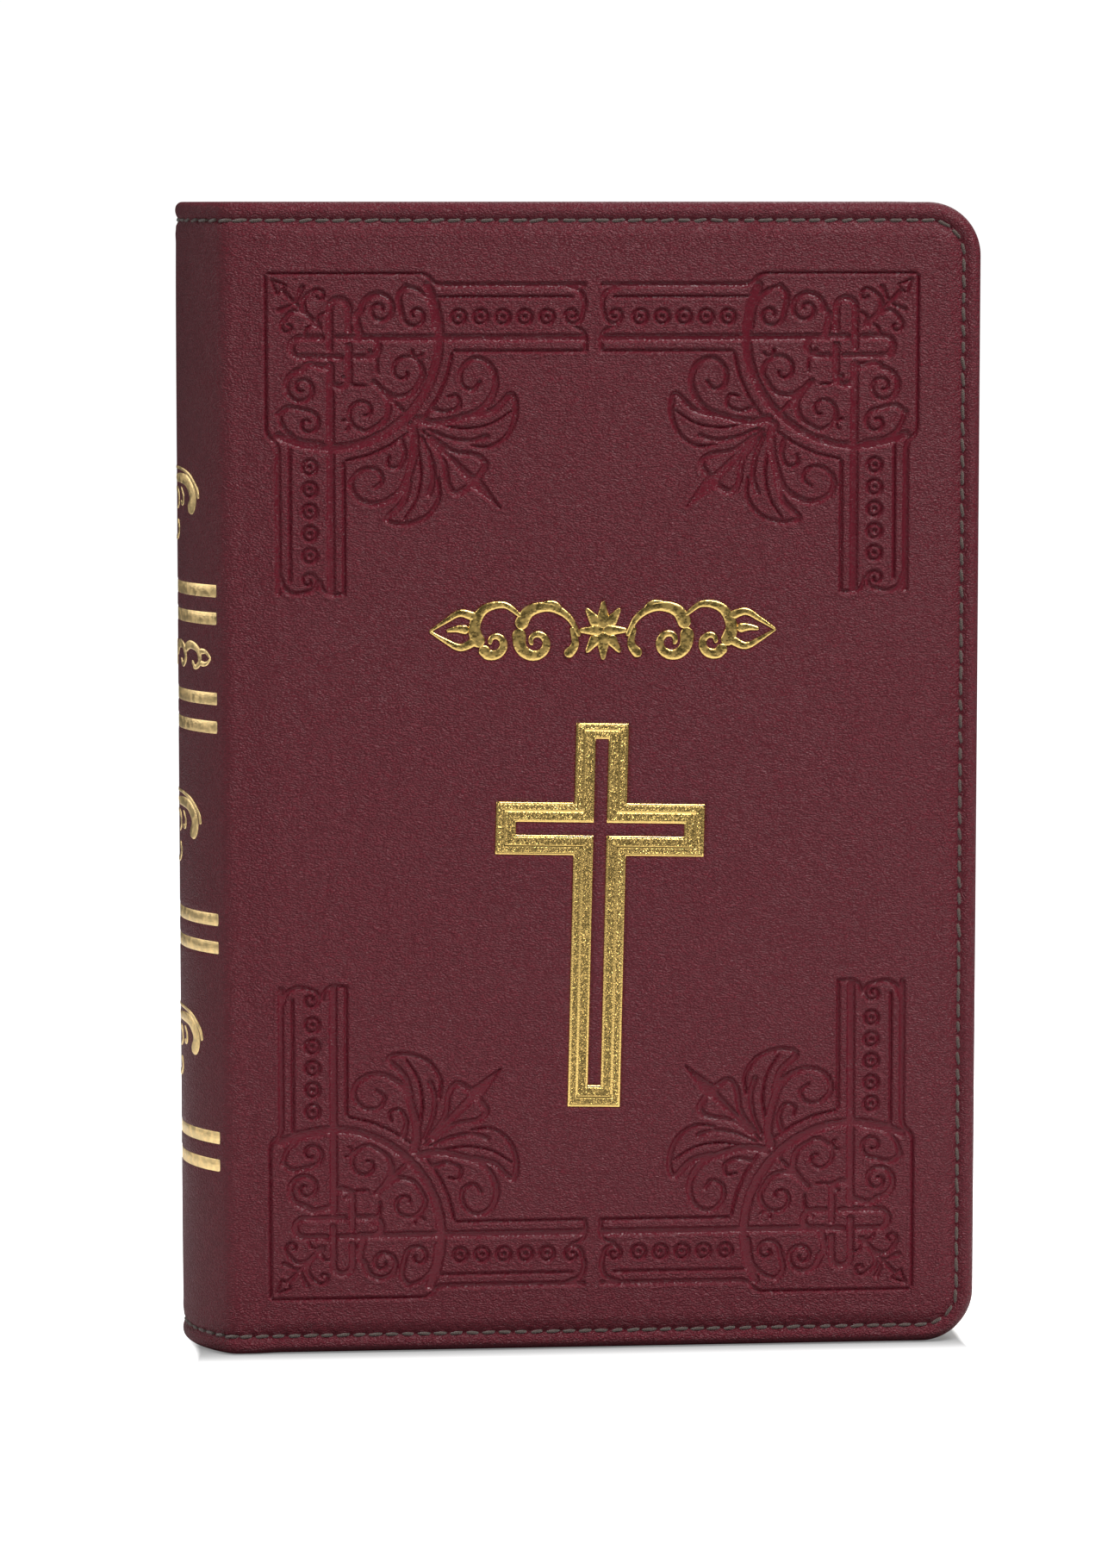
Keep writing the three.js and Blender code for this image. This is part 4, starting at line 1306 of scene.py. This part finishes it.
class BOOK_OT_leaves(bpy.types.Operator):
    """Gilt-edged leaves: a sewn back, the middle leaves, and those beside each cover"""
    bl_idname = "book.leaves"
    bl_label = "Leaves"

    def execute(self, context):
        back_low, back_high = box_mm("sewn_back")
        block = back_high.y
        back_radius = SPINE_CENTRE - back_low.x
        fore = box_mm("front_flyleaf")[1].x
        inner = box_mm("middle_leaves")
        radius = (block**2 + HOLLOW**2) / (2 * HOLLOW)

        def fore_edge(y):
            return fore - HOLLOW + radius - math.sqrt(radius**2 - y**2)

        def gutter(y):
            return BOARD_EDGE

        def rounded_back(y):
            return SPINE_CENTRE - math.sqrt(back_radius**2 - y**2)

        piece = leaf_block("sewn_leaf_backs", -block, block, rounded_back, gutter, 0, 3)
        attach(piece, "spine")
        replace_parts(piece, "sewn_back")
        piece = leaf_block("middle_leaf_block", inner[0].y, inner[1].y, gutter, fore_edge, LEAF_CORNER, 4)
        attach(piece, "spine")
        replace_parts(piece, "middle_leaves")
        for seed, side in ((10, "front"), (20, "back")):
            for i, node in enumerate(("flyleaf", "leaves_1", "leaves_2", "leaves_3")):
                body = side + "_" + node
                low, high = box_mm(body)
                piece = leaf_block(body + "_sheets", low.y, high.y, gutter, fore_edge, LEAF_CORNER, seed + i)
                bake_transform(piece)
                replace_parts(piece, body)
        return {"FINISHED"}


class BOOK_OT_endpapers(bpy.types.Operator):
    """Endpaper hinges that join each cover's lining to the leaves"""
    bl_idname = "book.endpapers"
    bl_label = "Endpaper Hinges"

    def execute(self, context):
        thin = 0.14
        for side in ("front", "back"):
            out = side_sign(side)
            first = box_mm("front_flyleaf")[0].y
            rise = np.linspace(first, lining_high.y, 25)
            inner = np.r_[np.stack([np.full(25, BOARD_EDGE - 0.05), rise], 1),
                          [(BOARD_EDGE + 0.6, lining_high.y), (BOARD_EDGE + 2.2, lining_high.y + 0.02)]]
            outer = inner + np.r_[np.tile([(-thin, 0.0)], (25, 1)), [(0, thin), (0, thin)]]
            ring = np.vstack([inner, outer[::-1], inner[:1]])
            zs = spaced(lining_low.z, lining_high.z, 12)
            places = np.stack([np.stack([ring[:, 0], -out * ring[:, 1], z + 0 * ring[:, 0]], 1) for z in zs])
            piece = close_rings(laid_grid(side + "_endpaper_hinge", places))
            dress(piece, endpaper(), angle=40, slot="lining")
            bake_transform(piece)
        return {"FINISHED"}


class BOOK_OT_endbands(bpy.types.Operator):
    """Striped endbands wound over a cord at the head and tail of the leaves"""
    bl_idname = "book.endbands"
    bl_label = "Endbands"

    def execute(self, context):
        for node in ("headband", "tailband"):
            low, high = box_mm(node)
            radius = SPINE_CENTRE - low.x
            reach = math.asin(high.y / radius)
            turn = np.linspace(-reach, reach, 150)
            around = np.linspace(0, 2 * math.pi, 15)
            a, b = np.meshgrid(turn, around, indexing="ij")
            wound = 1 + 0.07 * np.cos(a * radius * 2 * math.pi / 0.5)
            taper = np.clip(np.minimum(a + reach, reach - a) * radius / 0.4, 0.05, 1) ** 0.5
            thick_r = (0.85 * wound * taper) * np.cos(b)
            thick_z = ((high.z - low.z) / 2 * wound * taper) * np.sin(b) * 0.98
            r = radius - 0.95 + thick_r
            places = np.stack(
                [SPINE_CENTRE - r * np.cos(a), r * np.sin(a), (low.z + high.z) / 2 + thick_z], 2)
            piece = close_rings(laid_grid(node + "_winding", places))
            dress(piece, striped_endband(), angle=60, slot="endband")
            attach(piece, "spine")
            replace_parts(piece, node)
        return {"FINISHED"}


class BOOK_OT_inner_plies(bpy.types.Operator):
    """Finishes of the plies inside the covers and the spine"""
    bl_idname = "book.inner_plies"
    bl_label = "Inner Plies"

    def execute(self, context):
        finishes = {"padding": padding_felt(), "board": grey_board(), "lining": endpaper()}
        dressed = {side + "_" + ply: finish for side in ("front", "back") for ply, finish in finishes.items()}
        dressed.update({"spine_inlay": grey_board(), "spine_mull": open_mull()})
        for node, finish in dressed.items():
            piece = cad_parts[node]
            if not piece.material_slots:
                piece.data.materials.append(finish)
            for place in piece.material_slots:
                place.material = finish
        return {"FINISHED"}


# ---- Studio ----


CAMERA_PLACE = (-0.0925, -0.9964, 0.2073)
CAMERA_AIM = (-0.0041, -0.018, 0.1021)
CAMERA_LENS = 127.6
SKY_SEEN = 1.05  # the surround's brightness as the camera sees it


def soft_light(name, place, aim, size, power):
    deselect_all()
    bpy.ops.object.light_add(type="AREA", location=place)
    light = bpy.context.object
    light.name = name
    light.data.shape = "RECTANGLE"
    light.data.size, light.data.size_y = size
    light.data.energy = power
    light.rotation_euler = (Vector(aim) - Vector(place)).to_track_quat("-Z", "Y").to_euler()


class BOOK_OT_studio(bpy.types.Operator):
    """Pale floor, soft lights and the camera"""
    bl_idname = "book.studio"
    bl_label = "Studio"

    def execute(self, context):
        scene = context.scene
        levels = scene.studio_levels
        deselect_all()
        bpy.ops.mesh.primitive_plane_add(size=30, location=(0, 0, -0.0001))
        floor = context.object
        floor.name = "pale_floor"
        floor.data.materials.append(pale_floor())
        middle = (0.0, 0.0, 0.1)
        soft_light("key_light", (0.5, -0.62, 1.2), middle, (0.9, 0.6), levels.key)
        soft_light("side_light", (-1.1, 0.45, 0.6), middle, (0.7, 0.9), levels.side)
        soft_light("front_light", (-1.1, -0.8, 0.7), middle, (0.6, 0.6), levels.front)
        soft_light("back_light", (0.5, 1.2, 1.0), middle, (0.9, 0.9), levels.back)
        world = bpy.data.worlds.new("surround")
        scene.world = world
        world.use_nodes = True
        tree = world.node_tree
        n = Nodes(tree)
        seen = n.put("LightPath")["Is Camera Ray"]
        strength = n.plus(n.times(seen, SKY_SEEN - levels.sky), levels.sky)
        back = tree.nodes["Background"]
        back.inputs["Color"].default_value = (1, 1, 1, 1)
        tree.links.new(strength, back.inputs["Strength"])
        deselect_all()
        bpy.ops.object.camera_add(location=CAMERA_PLACE)
        camera = context.object
        camera.name = "book_camera"
        camera.rotation_euler = (Vector(CAMERA_AIM) - camera.location).to_track_quat("-Z", "Y").to_euler()
        camera.data.sensor_width = 36
        camera.data.lens = CAMERA_LENS
        scene.camera = camera
        scene.view_settings.view_transform = "Standard"
        scene.view_settings.look = "None"
        return {"FINISHED"}


PIECES = (
    BOOK_OT_front_field, BOOK_OT_edge_rolls, BOOK_OT_back_field, BOOK_OT_spine_leather, BOOK_OT_edge_stitches,
    BOOK_OT_gold_cross, BOOK_OT_gold_scrolls, BOOK_OT_spine_gilding, BOOK_OT_leaves, BOOK_OT_endpapers,
    BOOK_OT_endbands, BOOK_OT_inner_plies, BOOK_OT_studio,
)


class BOOK_PT_sidebar(bpy.types.Panel):
    """Lists the book's pieces"""
    bl_idname = "BOOK_PT_sidebar"
    bl_label = "Leather Book"
    bl_space_type = "VIEW_3D"
    bl_region_type = "UI"
    bl_category = "Book"

    def draw(self, context):
        for group in (context.scene.book_sizes, context.scene.book_colours, context.scene.studio_levels):
            box = self.layout.box()
            for key in group.__annotations__:
                box.prop(group, key)
        for piece in PIECES:
            self.layout.operator(piece.bl_idname)


CLASSES = (BookSizes, BookColours, StudioLevels, *PIECES, BOOK_PT_sidebar)


def register():
    for cls in CLASSES:
        bpy.utils.register_class(cls)
    bpy.types.Scene.book_sizes = bpy.props.PointerProperty(type=BookSizes)
    bpy.types.Scene.book_colours = bpy.props.PointerProperty(type=BookColours)
    bpy.types.Scene.studio_levels = bpy.props.PointerProperty(type=StudioLevels)


def unregister():
    del bpy.types.Scene.studio_levels
    del bpy.types.Scene.book_colours
    del bpy.types.Scene.book_sizes
    for cls in reversed(CLASSES):
        bpy.utils.unregister_class(cls)


def main():
    register()
    for piece in PIECES:
        group, name = piece.bl_idname.split(".")
        getattr(getattr(bpy.ops, group), name)()


if __name__ == "__main__":
    main()
